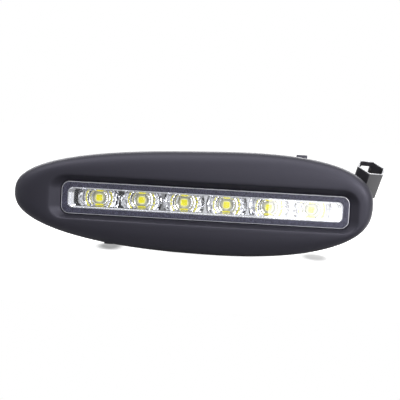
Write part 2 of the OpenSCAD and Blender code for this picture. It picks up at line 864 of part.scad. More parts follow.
module driver_chips() color([0.1, 0.1, 0.1]) {
    chip_d = coil_t/3;
    big = driver_l/7;
    small = driver_l/12;
    translate([box_mid - driver_l*0.36, parts_y, -big/2]) cube([big, chip_d, big]);
    for (z = [-1, 1])
        translate([box_mid + driver_l*0.29, parts_y, z*small - small/2])
            cube([small, chip_d, small]);
}

module breather_vent() color([0.15, 0.15, 0.16]) {
    y_bore(vent_x, 0, vent_r, box_back_y, box_back_y + vent_t);
    y_bore(vent_x, 0, vent_hole_r - 0.05, box_back_y - box_wall, box_back_y + thin);
}

// Plug socket

shell_base = [box_x1 + elbow_out, spigot_y, elbow_rise];
flange_t = 1.6;
flange_out = 2.4;
flange_r = spigot_r + flange_out;
ring_seal_t = 1;
flange_x = box_x1 + ring_seal_t;
shell_turn = 24;

module on_shell() {
    translate(shell_base) rotate([shell_tilt, shell_lean, 0]) children();
}

module hexagon(r, z0, z1) {
    translate([0, 0, z0]) rotate(shell_turn) cylinder(r = r, h = z1 - z0, $fn = 6);
}

elbow_wall = 0.8;
elbow_r = spigot_r + elbow_wall;
spigot_in = 1.4;

module connector_shell() color([0.13, 0.13, 0.14]) {
    difference() {
        union() {
            on_shell() hexagon(shell_r, 0, shell_l);
            hull() {
                $fn = 32;
                on_shell() cylinder(r = elbow_r + 1.6, h = 0.5);
                translate([flange_x + flange_t - 0.1, spigot_y, 0])
                    rotate([0, 90, 0]) cylinder(r = elbow_r, h = 3);
            }
            translate([flange_x, spigot_y, 0])
                rotate([0, 90, 0]) cylinder(r = flange_r, h = flange_t);
            translate([box_x1 - box_wall - spigot_in, spigot_y, 0])
                rotate([0, 90, 0])
                    cylinder(r = spigot_r, h = box_wall + spigot_in + ring_seal_t + flange_t);
        }
        on_shell() hexagon(shell_r - shell_wall, shell_floor, shell_l + 1);
        on_shell()
            rotate(shell_turn + 90)
                translate([0, -latch_w/2, shell_l - latch_rim - latch_h])
                    cube([2*shell_r, latch_w, latch_h]);
        on_shell()
            for (x = [-1, 1])
                translate([x*blade_gap/2 - blade_w/2, -blade_t/2, -1])
                    cube([blade_w, blade_t, shell_floor + 2]);
    }
}

blade_w = 2.8;
blade_t = 0.8;
blade_gap = 5.5;
blade_l = 7;
carrier_t = 3;

module terminal_carrier() color([0.85, 0.85, 0.8]) {
    on_shell()
        difference() {
            hexagon(shell_r - shell_wall - 0.1, shell_floor, shell_floor + carrier_t);
            for (x = [-1, 1])
                translate([x*blade_gap/2 - blade_w/2, -blade_t/2, 0])
                    cube([blade_w, blade_t, shell_floor + carrier_t + 1]);
        }
}

module blade(side) {
    on_shell()
        translate([side*blade_gap/2 - blade_w/2, -blade_t/2, -0.2])
            cube([blade_w, blade_t, shell_floor + carrier_t + blade_l]);
}

module terminal_left() color([0.85, 0.7, 0.35]) blade(-1);
module terminal_right() color([0.85, 0.7, 0.35]) blade(1);

module connector_seal() color([0.5, 0.15, 0.1]) {
    translate([box_x1, spigot_y, 0])
        rotate([0, 90, 0])
            difference() {
                cylinder(r = flange_r - 0.4, h = ring_seal_t);
                translate([0, 0, -1]) cylinder(r = spigot_r, h = ring_seal_t + 2);
            }
}

// Brackets

bend_r = 1.5;

// Section enclosed by a strap with round bends, from the road side to y = -back
module bend(half_h, back, r) {
    l = 2*mount_d;
    translate([-back - l + r, -half_h + r]) offset(r) square([l - 2*r, 2*half_h - 2*r]);
}

// Bridge bracket: feet on the ears, legs past the housing and a web on the car
module bracket(x) {
    foot_z = ear_z + ear_r;
    difference() {
        translate([x - bracket_w/2, 0, 0])
            rotate([90, 0, 90])
                linear_extrude(bracket_w)
                    difference() {
                        union() {
                            bend(leg_z + bracket_t, 0, bend_r + bracket_t);
                            translate([ear_back_y, -foot_z]) square([bracket_t, 2*foot_z]);
                        }
                        bend(leg_z, bracket_t, bend_r);
                        translate([ear_back_y - bolt_span, -bolt_span])
                            square([bolt_span, 2*bolt_span]);
                    }
        y_bore(x, 0, bolt_r, -bracket_t - 1, 1);
        for (z = [-1, 1])
            y_bore(x, z*ear_z, screw_r + fit_gap, ear_back_y - 1, foot_back_y + 1);
    }
}

module bracket_left() color([0.55, 0.56, 0.58]) bracket(-bolt_span/2);
module bracket_right() color([0.55, 0.56, 0.58]) bracket(bolt_span/2);

bezel_head_r = 2.7;
bezel_head_t = 2;
tip_gap = 1;

module bezel_screws() color([0.6, 0.6, 0.62]) {
    for (e = EARS) {
        y_bore(e[0], e[1], bezel_head_r, foot_back_y, foot_back_y + bezel_head_t);
        y_bore(e[0], e[1], screw_r, ear_y - pilot_d + tip_gap, foot_back_y + thin);
    }
}

bezel();
lens();
lens_seal();
reflector();
housing();
housing_seal();
heat_sink();
heat_sink_screws();
led_board();
board_screws();
thermal_pad();
for (i = [1:LED_COUNT]) led(i);
for (i = [1:LED_COUNT]) led_chip(i);
for (i = [1:LED_COUNT]) led_dome(i);
driver_cover();
cover_seal();
cover_screws();
driver_board();
inductor();
capacitors();
driver_chips();
breather_vent();
connector_shell();
terminal_carrier();
terminal_left();
terminal_right();
connector_seal();
bracket_left();
bracket_right();
bezel_screws();
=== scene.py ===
# %% [markdown]
# # A daytime running light, dressed
#
# A strip of six LEDs sits in an egg-shaped black moulding. The strip is a clear lens with a
# grained border, and behind it lies a chrome tray with one faceted bowl for each LED. At the
# back are a finned heat sink, a small driver box with a plug socket and two steel brackets.
#
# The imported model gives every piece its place. This script builds finer meshes for the pieces
# that the light plays on, gives each piece a finish, and sets up camera and studio.

# %% Load the fixed frame
import math

import bmesh
import bpy
import numpy as np
from mathutils import Matrix, Vector


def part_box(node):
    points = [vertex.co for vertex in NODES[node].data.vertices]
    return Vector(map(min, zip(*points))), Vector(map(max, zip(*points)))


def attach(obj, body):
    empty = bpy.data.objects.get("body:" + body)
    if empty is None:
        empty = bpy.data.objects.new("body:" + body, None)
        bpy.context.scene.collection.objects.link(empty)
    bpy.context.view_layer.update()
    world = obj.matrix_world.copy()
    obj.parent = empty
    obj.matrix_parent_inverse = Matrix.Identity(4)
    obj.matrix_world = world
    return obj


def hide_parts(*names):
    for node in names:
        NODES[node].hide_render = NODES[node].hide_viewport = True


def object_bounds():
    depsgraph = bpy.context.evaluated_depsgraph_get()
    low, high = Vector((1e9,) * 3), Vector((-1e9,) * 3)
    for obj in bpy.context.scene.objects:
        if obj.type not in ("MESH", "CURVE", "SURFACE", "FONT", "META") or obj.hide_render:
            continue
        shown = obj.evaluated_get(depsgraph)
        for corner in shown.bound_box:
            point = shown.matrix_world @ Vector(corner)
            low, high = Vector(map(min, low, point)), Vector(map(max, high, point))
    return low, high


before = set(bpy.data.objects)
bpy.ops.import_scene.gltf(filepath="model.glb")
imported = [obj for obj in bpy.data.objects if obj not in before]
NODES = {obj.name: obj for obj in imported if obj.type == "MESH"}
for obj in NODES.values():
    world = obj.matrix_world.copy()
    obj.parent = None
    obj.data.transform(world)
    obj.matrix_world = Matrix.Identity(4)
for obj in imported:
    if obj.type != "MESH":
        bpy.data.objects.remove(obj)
cad_low, cad_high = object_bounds()
MM = 0.001
print("CAD box in mm", [round(v / MM, 1) for v in (*cad_low, *cad_high)])

# %% [markdown]
# ## Finishes
#
# A finish is a Principled BSDF with a few procedural nodes in front of it. `finish` makes the
# material and sets the sockets that are the same all over the surface directly on the shader,
# and `node` adds one node to a tree with its settings. Texture coordinates come from the
# object, whose origin is the frame's origin, so a grain sits still on its piece and has its
# real size: a scale of 1000 is one cell per mm. A picture of the plastic could do the same, but
# nodes look as fine from close up, need no unwrapping and fit a piece of any size.

# %% Make a finish
FINISHES = {}


def shader_of(material):
    return material.node_tree.nodes["Principled BSDF"]


def finish(name, colour, **sockets):
    material = bpy.data.materials.new(name)
    material.use_nodes = True
    shader_of(material).inputs["Base Color"].default_value = (*colour, 1)
    for socket, value in sockets.items():
        shader_of(material).inputs[socket.replace("_", " ")].default_value = value
    material.diffuse_color = (*colour, 1)
    FINISHES[name] = material
    return material


def node(tree, kind, **values):
    made = tree.nodes.new(kind)
    for key, value in values.items():
        socket = key.replace("_", " ")
        if socket in made.inputs:
            made.inputs[socket].default_value = value
        else:
            setattr(made, key, value)
    return made


# %% [markdown]
# ## Grain
#
# Moulded plastic takes its satin look from a fine erosion of the mould. Noise of about half a
# millimetre moves the shading normal a little and also makes the roughness uneven, which keeps
# a broad highlight from looking like a smooth gradient. Real dents of that size would take
# millions of faces and look the same. Mottle turns the same noise into two colours, for a grain
# that shows from afar.

# %% Add grain to a finish


def add_grain(material, per_mm, depth_mm, rough=None, detail=3):
    tree, shader = material.node_tree, shader_of(material)
    place = node(tree, "ShaderNodeTexCoord")
    noise = node(tree, "ShaderNodeTexNoise", Scale=per_mm / MM, Detail=detail)
    bump = node(tree, "ShaderNodeBump", Strength=1.0, Distance=depth_mm * MM)
    tree.links.new(place.outputs["Object"], noise.inputs["Vector"])
    tree.links.new(noise.outputs["Fac"], bump.inputs["Height"])
    tree.links.new(bump.outputs["Normal"], shader.inputs["Normal"])
    if rough:
        spread = node(tree, "ShaderNodeMapRange", To_Min=rough[0], To_Max=rough[1])
        tree.links.new(noise.outputs["Fac"], spread.inputs["Value"])
        tree.links.new(spread.outputs["Result"], shader.inputs["Roughness"])
    return noise


def add_mottle(material, noise, dark, light, low=0.35, high=0.65):
    tree = material.node_tree
    mix = node(tree, "ShaderNodeMapRange", data_type="FLOAT_VECTOR")
    # The vector sockets share their names with the plain ones, so they are taken by number
    for socket, value in zip(mix.inputs[7:11], ((low,) * 3, (high,) * 3, dark, light)):
        socket.default_value = value
    tree.links.new(noise.outputs["Fac"], mix.inputs[6])
    tree.links.new(mix.outputs["Vector"], shader_of(material).inputs["Base Color"])


satin_black = finish(
    "satin_black", (0.0115, 0.0110, 0.0160), Roughness=0.5, Specular_Tint=(0.84, 0.82, 1.0, 1)
)
add_grain(satin_black, 2.2, 0.02, rough=(0.44, 0.56))

housing_black = finish("housing_black", (0.018, 0.018, 0.019), Roughness=0.5)
add_grain(housing_black, 1.4, 0.02, rough=(0.38, 0.6))

# Pale grey for the socket's mouth rim: a painted highlight
rim_painted_highlight = finish("rim_painted_highlight", (0.5, 0.5, 0.52), Roughness=0.2)
plug_black = finish("plug_black", (0.026, 0.025, 0.03), Roughness=0.3, Specular_IOR_Level=0.9)
add_grain(plug_black, 2.5, 0.008, rough=(0.24, 0.36))

rubber_grey = finish("rubber_grey", (0.05, 0.05, 0.052), Roughness=0.75)
add_grain(rubber_grey, 3.0, 0.02)

rubber_red = finish("rubber_red", (0.35, 0.06, 0.03), Roughness=0.6)
add_grain(rubber_red, 3.0, 0.02)

# %% [markdown]
# ## The lens's two finishes
#
# One moulding of clear polycarbonate has a polished window and a grained border. The window
# is real glass to the renderer, so that it bends and reflects. Through the grained border one
# sees only the dark housing behind it, broken up by the grain, so the border is a dark
# blue-grey with pale specks. The rolled edges between the two are polished again, with a clear
# coat that gathers light from all round, and are coloured pale grey as a painted highlight;
# together they draw a thin pale line round the border and round the window.
# Rough glass could be used for the border as well, but it needs many more samples to look
# clean, and behind it there is nothing to see.

# %% Lens finishes
clear_window = finish(
    "clear_window", (0.97, 0.98, 1.0), Roughness=0.0, Transmission_Weight=1.0, IOR=1.58
)
grained_border = finish("grained_border", (0.05, 0.05, 0.07), Roughness=0.5)
specks = add_grain(grained_border, 1.6, 0.05, detail=4)
add_mottle(grained_border, specks, (0.006, 0.006, 0.018), (0.075, 0.075, 0.125))
# Pale grey on the rolled edges and the window's bevel: a painted highlight under a clear coat
polished_edge_painted_highlight = finish(
    "polished_edge_painted_highlight", (0.68, 0.69, 0.74), Roughness=0.15, Coat_Weight=1.0, Coat_Roughness=0.03
)

# %% [markdown]
# ## Chrome, phosphor and silicone
#
# The tray is vacuum-metallised plastic: a mirror with hardly any roughness, whose sparkle is
# the work of its facets and not of the material. An LED shows a yellow phosphor plate under a
# clear silicone dome, on a ceramic body with a shallow white cup. The LED is off, and since
# little of the studio's light finds its way in under a dome, plate, cup and body are given a
# slight glow of their own: painted light that stands in for the light that falls on them.

# %% Optics finishes
chrome = finish("chrome", (0.93, 0.93, 0.95), Metallic=1.0, Roughness=0.06)
# Painted light: the phosphor's emission stands in for studio light that cannot reach it under the dome
phosphor = finish(
    "phosphor", (0.88, 0.82, 0.02), Roughness=0.6,
    Emission_Color=(0.92, 0.84, 0.02, 1), Emission_Strength=0.7
)
silicone = finish("silicone", (1.0, 1.0, 1.0), Roughness=0.0, Transmission_Weight=1.0, IOR=1.41)
# Painted light: the body's slight emission stands in for the light that falls on it under the dome
ceramic_painted_glow = finish(
    "ceramic_painted_glow", (0.8, 0.8, 0.66), Roughness=0.45,
    Emission_Color=(0.95, 0.93, 0.6, 1), Emission_Strength=0.12
)
add_grain(ceramic_painted_glow, 4.0, 0.01)
# Painted light: the cup's pale glow stands in for the light that falls on it under the dome
cup_painted_glow = finish(
    "cup_painted_glow", (0.88, 0.87, 0.66), Roughness=0.5,
    Emission_Color=(0.95, 0.93, 0.55, 1), Emission_Strength=0.36
)
print("optics:", chrome.name, phosphor.name, silicone.name, ceramic_painted_glow.name, cup_painted_glow.name)

# %% [markdown]
# ## Metals and electronics
#
# The heat sink is die-cast aluminium, matt and with an uneven shine. Brackets and screws are
# zinc-plated steel, a cool grey whose shine is sharper on the screws. Boards have a solder-mask
# colour with a waxy gloss. For all of them one noise for bump and shine is enough, since bare
# metal is told apart by its colour and by how sharply it mirrors.

# %% Metal and board finishes
cast_aluminium = finish("cast_aluminium", (0.62, 0.63, 0.65), Metallic=1.0, Roughness=0.42)
add_grain(cast_aluminium, 1.2, 0.03, rough=(0.34, 0.52))
zinc = finish("zinc", (0.52, 0.53, 0.56), Metallic=1.0, Roughness=0.38)
add_grain(zinc, 0.8, 0.01, rough=(0.3, 0.46))
screw_steel = finish("screw_steel", (0.55, 0.55, 0.57), Metallic=1.0, Roughness=0.28)
add_grain(screw_steel, 2.0, 0.01, rough=(0.22, 0.36))
tin = finish("tin", (0.72, 0.68, 0.55), Metallic=1.0, Roughness=0.25)
add_grain(tin, 2.0, 0.008, rough=(0.2, 0.32))
board_white = finish("board_white", (0.8, 0.81, 0.8), Roughness=0.35)
add_grain(board_white, 1.5, 0.01, rough=(0.3, 0.42))
board_green = finish("board_green", (0.02, 0.16, 0.06), Roughness=0.3)
add_grain(board_green, 1.5, 0.01, rough=(0.25, 0.38))
gap_pad = finish("gap_pad", (0.3, 0.42, 0.5), Roughness=0.8)
add_grain(gap_pad, 2.0, 0.02)
copper = finish("copper", (0.75, 0.36, 0.2), Metallic=1.0, Roughness=0.3)
add_grain(copper, 3.0, 0.02)
can_blue = finish("can_blue", (0.06, 0.09, 0.2), Roughness=0.3)
add_grain(can_blue, 3.0, 0.01)
chip_black = finish("chip_black", (0.02, 0.02, 0.02), Roughness=0.55)
add_grain(chip_black, 4.0, 0.01)
carrier_ivory = finish("carrier_ivory", (0.72, 0.69, 0.6), Roughness=0.45)
add_grain(carrier_ivory, 2.5, 0.01)
print(len(FINISHES), "finishes")

# %% [markdown]
# ## Dress the pieces that keep their CAD mesh
#
# Small inner pieces have the right shape already and hardly show, so each only gets its finish.
# The finish takes the place of whatever materials the node came with.

# %% Finish for each CAD node
CAD_FINISHES = {
    "lens_seal": rubber_grey,
    "housing": housing_black,
    "housing_seal": rubber_grey,
    "led_board": board_white,
    "board_screws": screw_steel,
    "thermal_pad": gap_pad,
    "cover_seal": rubber_grey,
    "driver_board": board_green,
    "inductor": copper,
    "capacitors": can_blue,
    "driver_chips": chip_black,
    "terminal_carrier": carrier_ivory,
    "terminal_left": tin,
    "terminal_right": tin,
    "connector_seal": rubber_red,
}


def dress(piece, *materials):
    piece.data.materials.clear()
    for material in materials:
        piece.data.materials.append(material)


for name, material in CAD_FINISHES.items():
    dress(NODES[name], material)
print(len(CAD_FINISHES), "CAD nodes dressed")

# %% [markdown]
# ## Building meshes
#
# A piece is built from points in millimetres and lists of corners. Normals are made consistent,
# edges sharper than a given angle stay sharp, and the piece then rides on the lamp's only body.
# `settle` also hides the CAD nodes that the piece stands in for, and prints its size.
# Where solids must become one, the boolean modifier with the manifold solver joins or cuts
# them, and its result replaces the mesh. Edit-mode tools could make the same shapes by hand,
# but points that are worked out from sizes stay exact and can be made again.

# %% Helpers for pieces


def mesh_of(name, points, faces):
    mesh = bpy.data.meshes.new(name)
    mesh.from_pydata((np.asarray(points, float) * MM).tolist(), [], [tuple(f) for f in faces])
    shape = bmesh.new()
    shape.from_mesh(mesh)
    bmesh.ops.remove_doubles(shape, verts=shape.verts, dist=1e-7)
    bmesh.ops.recalc_face_normals(shape, faces=shape.faces)
    shape.to_mesh(mesh)
    shape.free()
    return mesh


def solid(name, points, faces):
    piece = bpy.data.objects.new(name, mesh_of(name, points, faces))
    bpy.context.scene.collection.objects.link(piece)
    return piece


def combine(piece, tools, operation):
    for tool in tools:
        step = piece.modifiers.new("step", "BOOLEAN")
        step.object, step.operation, step.solver = tool, operation, "MANIFOLD"
    graph = bpy.context.evaluated_depsgraph_get()
    result = bpy.data.meshes.new_from_object(piece.evaluated_get(graph))
    piece.modifiers.clear()
    piece.data = result
    for tool in tools:
        bpy.data.objects.remove(tool)
    return piece


def settle(piece, cad_nodes, slot, *materials, sharp=35):
    if materials:
        dress(piece, *materials)
    for face in piece.data.polygons:
        face.use_smooth = True
    piece.data.set_sharp_from_angle(angle=math.radians(sharp))
    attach(piece, "root")
    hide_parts(*cad_nodes)
    low, high = (Vector(c) for c in (piece.bound_box[0], piece.bound_box[6]))
    print(piece.name, len(piece.data.polygons), "faces,", [round(v / MM, 1) for v in (*low, *high)])


# %% [markdown]
# ## Lofting between closed loops
#
# Most of the lamp's pieces are a stack of closed loops with the same number of points: a round
# loop for a pin, a rounded rectangle for the lens. `loft` skins the stack and caps its ends, or
# joins the last loop to the first, which makes a closed ring. A loop mostly lies across the
# lamp, at one depth y. Bevelled curves could make some of these pieces, but they would have to
# be turned into meshes before the solver can join or cut them.

# %% Skin a stack of loops


def loft(loops, closed=False):
    loops = [np.asarray(loop, float) for loop in loops]
    count, size = len(loops), len(loops[0])
    points = np.vstack(loops)
    faces = []
    for j in range(count if closed else count - 1):
        a, b = j * size, ((j + 1) % count) * size
        for i in range(size):
            k = (i + 1) % size
            faces.append((a + i, a + k, b + k, b + i))
    if not closed:
        faces.append(tuple(range(size)))
        faces.append(tuple((count - 1) * size + i for i in range(size)))
    return points, faces


# %% Round loops, slots and rectangles


def round_loop(x, z, radius, y, count=48):
    a = np.arange(count) * 2 * math.pi / count
    return np.c_[x + radius * np.cos(a), np.full(count, y), z + radius * np.sin(a)]


def plain_loop(x, z, length, height, y):
    return [(x + sx * length / 2, y, z + sz * height / 2)
            for sx, sz in ((-1, -1), (1, -1), (1, 1), (-1, 1))]


def slot_loop(length, height, radius, y, corner=12):
    points = []
    cx, cz = length / 2 - radius, height / 2 - radius
    for x, z, start in ((cx, cz, 0), (-cx, cz, 90), (-cx, -cz, 180), (cx, -cz, 270)):
        for k in range(corner + 1):
            a = math.radians(start + 90 * k / corner)
            points.append((x + radius * math.cos(a), y, z + radius * math.sin(a)))
    return np.array(points)


# %% [markdown]
# ## Turned pieces
#
# Bosses, holes, columns and screws are all turned: a profile of radius and depth goes round an
# axis that runs into the car. A pin is the plainest of them, one radius from start to end. The
# Screw modifier turns profiles too, but a loft of round loops needs no applying or merging.

# %% Turn a profile


def turned(x, z, profile, count=48):
    return solid("turned", *loft([round_loop(x, z, radius, y, count) for radius, y in profile]))


def pin(x, z, radius, start, end):
    return turned(x, z, [(radius, start), (radius, end)])


# %% [markdown]
# ## Stations from the frame
#
# All depths come from the CAD boxes, so the finer pieces fill the same places. Each box has a
# low and a high corner: X runs along the lamp, Y into the car and Z up. Pieces that lie evenly
# round the strip's middle have their length and height from the high corner alone.

# %% Read the stations
LOW, HIGH = 0, 1
X, Y, Z = 0, 1, 2
TONGUE_T = 1.6


def station(name, axis, side):
    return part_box(name)[side][axis] / MM


def middle_of(name, axis):
    return (station(name, axis, LOW) + station(name, axis, HIGH)) / 2


LENS_FRONT, LENS_TONGUE = station("lens", Y, LOW), station("lens", Y, HIGH)
LENS_L, LENS_H = station("lens", X, HIGH) * 2, station("lens", Z, HIGH) * 2
LENS_BACK = LENS_TONGUE - TONGUE_T
TRAY_FRONT, TRAY_BACK = station("reflector", Y, LOW), station("reflector", Y, HIGH)
TRAY_L, TRAY_H = station("reflector", X, HIGH) * 2, station("reflector", Z, HIGH) * 2
LED_FRONT, LED_BACK = station("led_1", Y, LOW), station("led_1", Y, HIGH)
LED_X = [middle_of(f"led_{i}", X) for i in range(1, 7)]
CREST = station("bezel", Y, LOW)
print("lens", LENS_FRONT, "tray", TRAY_FRONT, TRAY_BACK, "LEDs", [round(x, 2) for x in LED_X])

# %% [markdown]
# ## The egg outline
#
# The bezel's outline is a squared ellipse, fatter at the right and with both tips bent up. A
# point is inside where `egg` is below zero. The width of the face in a direction is found by
# halving an interval until it is shorter than a hair. A curve drawn through a few points would
# do as well, but it easily gets dents that show on a dark satin face, and a formula stays fair
# at any number of steps.

# %% Outline of the bezel
EGG_L, EGG_H, EGG_POWER = 239.4, 68.6, 2.47
EGG_TAPER, EGG_BEND, EGG_TURN = 0.12, 2.5, math.radians(0.7)
EGG_SHIFT, EGG_RISE = 7.8, 0.8


def egg(x, z):
    x, z = x + EGG_SHIFT, z - EGG_RISE
    u = x * math.cos(EGG_TURN) + z * math.sin(EGG_TURN)
    v = z * math.cos(EGG_TURN) - x * math.sin(EGG_TURN)
    t = u / (EGG_L / 2)
    w = (v - EGG_BEND * t * t) / (1 + EGG_TAPER * t) / (EGG_H / 2)
    return abs(t) ** EGG_POWER + abs(w) ** EGG_POWER - 1


def reach(x, z, dx, dz):
    near, far = 0.0, 150.0
    for _ in range(32):
        middle = (near + far) / 2
        if egg(x + middle * dx, z + middle * dz) < 0:
            near = middle
        else:
            far = middle
    return (near + far) / 2


print("outline from", round(-reach(0, 0, -1, 0), 1), "to", round(reach(0, 0, 1, 0), 1), "mm")


# %% [markdown]
# ## The bezel's section
#
# From the slot outwards a section has a flat lip, a steep recess that rolls over into the
# crown, and a face that curves down to the rim with the roundness of a squared ellipse. It then
# goes back along the inside, a wall's thickness away. The crown falls back towards the ends of
# the slot, and the rim's edge is rounded so that it catches the light. A subdivision surface
# would be quicker to draw, but it only comes near the points that are given, while here the lip
# stays crisp, the roll is soft and the rim lies exactly in its plane.

# %% Section of the bezel
CROWN, CROWN_POWER, CROWN_SWEEP, WALL = 12, 2.8, 1.5, 2.5
RECESS = {"top": 4.4, "bottom": 3.2, "left": 8, "right": 6}
ROLL, LIP_T, LIP_W, EDGE, RIM_ROUND = 1.6, 2.4, 3, 0.4, 0.5
LENS_PROUD, LENS_GAP, SLOT_R = 0.8, 0.3, 5.9
RIM = CREST + CROWN
LIP = LENS_FRONT + LENS_PROUD
SLOT_L, SLOT_H = LENS_L + 2 * LENS_GAP, LENS_H + 2 * LENS_GAP
FACE_STEPS, RECESS_STEPS, INSIDE_STEPS, INSIDE_START = 40, 10, 14, 1.5


def recess_width(dx, dz):
    across = RECESS["top" if dz > 0 else "bottom"]
    along = RECESS["right" if dx > 0 else "left"]
    return dz * dz * across + dx * dx * along


def face_depth(height, share):
    return height * max(0.0, 1 - share**CROWN_POWER) ** (1 / CROWN_POWER)


def slope_height(t, roll):
    scale = 1 / (1 - roll / 2)
    return scale * t if t < 1 - roll else scale * (t - (t - 1 + roll) ** 2 / (2 * roll))


def section(width, recess, height):
    roll = ROLL / recess
    profile = [(0, LIP + LIP_T), (0, LIP + EDGE)]
    for k in range(1, 4):
        a = math.radians(30 * k)
        profile.append((EDGE * (1 - math.cos(a)), LIP + EDGE * (1 - math.sin(a))))
    for k in range(1, RECESS_STEPS + 1):
        t = k / RECESS_STEPS
        out = EDGE + (recess - EDGE) * t
        profile.append((out, LIP + (RIM - height - LIP) * slope_height(t, roll)))
    for k in range(1, FACE_STEPS + 1):
        share = math.sin(math.pi / 2 * k / FACE_STEPS) ** (2 / CROWN_POWER)
        y = RIM - face_depth(height, share)
        if y < RIM - RIM_ROUND:
            profile.append((recess + (width - recess) * share, y))
    for k in range(4):
        a = math.radians(30 * k)
        profile.append((width - RIM_ROUND * (1 - math.cos(a)), RIM - RIM_ROUND * (1 - math.sin(a))))
    inner_w, inner_f = width - WALL, recess + INSIDE_START
    for k in range(INSIDE_STEPS, -1, -1):
        share = math.sin(math.pi / 2 * k / INSIDE_STEPS) ** (2 / CROWN_POWER)
        y = RIM - face_depth(height - WALL, share)
        profile.append((inner_f + (inner_w - inner_f) * share, y))
    profile.append((LIP_W, LIP + LIP_T))
    return profile


print("a section has", len(section(reach(0, 0, 0, 1), RECESS["top"], CROWN)), "points")


# %% [markdown]
# ## Skin of the bezel
#
# Sections stand on rays that leave the slot's edge at right angles: parallel along the straight
# sides and fanned out round the corners. A section leaves out the points of its face that would
# lie behind the rim's rounding, so the code makes sure that all sections keep as many points,
# and the skin then joins each section to the next, all the way round.

# %% Skin the bezel
TOP_RAYS, CORNER_RAYS, END_RAYS = 110, 34, 8


def slot_rays():
    cx, cz = SLOT_L / 2 - SLOT_R, SLOT_H / 2 - SLOT_R
    rays = []

    def edge(start, end, direction, count):
        for k in range(count):
            t = (k + 0.5) / count
            rays.append((start[0] + (end[0] - start[0]) * t,
                         start[1] + (end[1] - start[1]) * t, *direction))

    def corner(x, z, start):
        for k in range(CORNER_RAYS):
            a = math.radians(start + 90 * (k + 0.5) / CORNER_RAYS)
            c, s = math.cos(a), math.sin(a)
            rays.append((x + SLOT_R * c, z + SLOT_R * s, c, s))

    edge((SLOT_L / 2, -cz), (SLOT_L / 2, cz), (1, 0), END_RAYS)
    corner(cx, cz, 0)
    edge((cx, SLOT_H / 2), (-cx, SLOT_H / 2), (0, 1), TOP_RAYS)
    corner(-cx, cz, 90)
    edge((-SLOT_L / 2, cz), (-SLOT_L / 2, -cz), (-1, 0), END_RAYS)
    corner(-cx, -cz, 180)
    edge((-cx, -SLOT_H / 2), (cx, -SLOT_H / 2), (0, -1), TOP_RAYS)
    corner(cx, -cz, 270)
    return rays


def bezel_rings():
    rings = []
    for x, z, dx, dz in slot_rays():
        height = CROWN - CROWN_SWEEP * (2 * x / SLOT_L) ** 2
        profile = section(reach(x, z, dx, dz), recess_width(dx, dz), height)
        rings.append([(x + out * dx, y, z + out * dz) for out, y in profile])
    assert len({len(ring) for ring in rings}) == 1, "sections differ in length"
    return rings


bezel = solid("bezel_moulding", *loft(bezel_rings(), closed=True))
print("bezel skin", len(bezel.data.polygons), "faces")

# %% [markdown]
# ## Bosses, snap arms and feet
#
# Behind the face the moulding has four screw bosses, four snap arms that hold it in the body
# panel, two feet and ten thin ribs. Each is its own closed solid first: a boss is a pin, while
# an arm or a rib is a side profile pushed through its width. The manifold solver then makes
# them one with the skin, and last come the pilot holes for the screws. Pieces that are only
# pushed into each other would look the same, but their hidden faces would stay inside.
#
# An arm is given by its place along the lamp, its side and how far its hook stands out past the
# outline. A foot is an arm on the lower side, given by its place, width and length, whose hook
# reaches down to the lowest point of the outline.

# %% Join the rear features
SCREW_X, SCREW_Z, BOSS_R, PILOT_R, PILOT_L, EAR_GAP = 52, 21.5, 3.6, 1.65, 8.5, 1
EAR = RIM + EAR_GAP
ARMS = [(-63, -1, 1.4), (63, 1, 1.4), (-63, 1, -0.9), (63, -1, 0)]
FEET = [(-20, 9, 19), (30, 9, 19)]
ARM_W, ARM_T, ARM_L = 7, 2, 12
RIBS, RIB_T = [-0.82, -0.3, 0, 0.3, 0.82], 1.2


def outline_z(x, side):
    return side * reach(x, 0, 0, side)


LOWEST = min(outline_z(x / 2, -1) for x in range(-80, 121))


def skin_depth(x, z):
    side = 1 if z > 0 else -1
    width, recess = abs(outline_z(x, side)) - SLOT_H / 2, recess_width(0, side)
    share = max(0.0, (abs(z) - SLOT_H / 2 - recess) / (width - recess))
    return face_depth(CROWN - CROWN_SWEEP * (2 * x / SLOT_L) ** 2, share)


def boss(x, z):
    return pin(x, z, BOSS_R, RIM - skin_depth(x, z) + WALL / 2, EAR)


def arm(x, side, width, length, hook):
    out = abs(outline_z(x, side)) - WALL + 0.9
    # Along the outside from the root in the skin, out over the hook and in again at the tip
    profile = [(RIM - 5, out - ARM_T), (RIM - 4.1, out), (RIM + length * 0.35, out),
               (RIM + length * 0.6, hook), (RIM + length * 0.8, hook),
               (RIM + length, out - ARM_T / 4), (RIM + length, out - ARM_T)]
    loops = [[(x + w, y, side * z) for y, z in profile] for w in (-width / 2, width / 2)]
    return solid("arm", *loft(loops))


def rib(x, side):
    low = SLOT_H / 2 + recess_width(0, side) + 1
    high = abs(outline_z(x, side)) - WALL / 2
    back = RIM - CROWN / 5
    # The front edge follows the skin at half its wall, and the back edge is straight
    profile = []
    for k in range(13):
        z = low + (high - low) * math.sin(math.pi / 2 * k / 12)
        profile.append((min(RIM - skin_depth(x, side * z) + WALL / 2, back - 0.01), z))
    profile += [(back, high), (back, low)]
    loops = [[(x + w, y, side * z) for y, z in profile] for w in (-RIB_T / 2, RIB_T / 2)]
    return solid("rib", *loft(loops))


EAR_SCREWS = [(sx * SCREW_X, sz * SCREW_Z) for sx in (-1, 1) for sz in (-1, 1)]
added = [boss(x, z) for x, z in EAR_SCREWS]
added += [arm(x, side, ARM_W, ARM_L, abs(outline_z(x, side)) + hook) for x, side, hook in ARMS]
added += [arm(x, -1, width, length, abs(LOWEST)) for x, width, length in FEET]
added += [rib(share * SLOT_L / 2, side) for share in RIBS for side in (-1, 1)]
combine(bezel, added, "UNION")
pilots = [pin(x, z, PILOT_R, EAR - PILOT_L, EAR + 1) for x, z in EAR_SCREWS]
combine(bezel, pilots, "DIFFERENCE")
settle(bezel, ["bezel"], "bezel", satin_black, sharp=30)
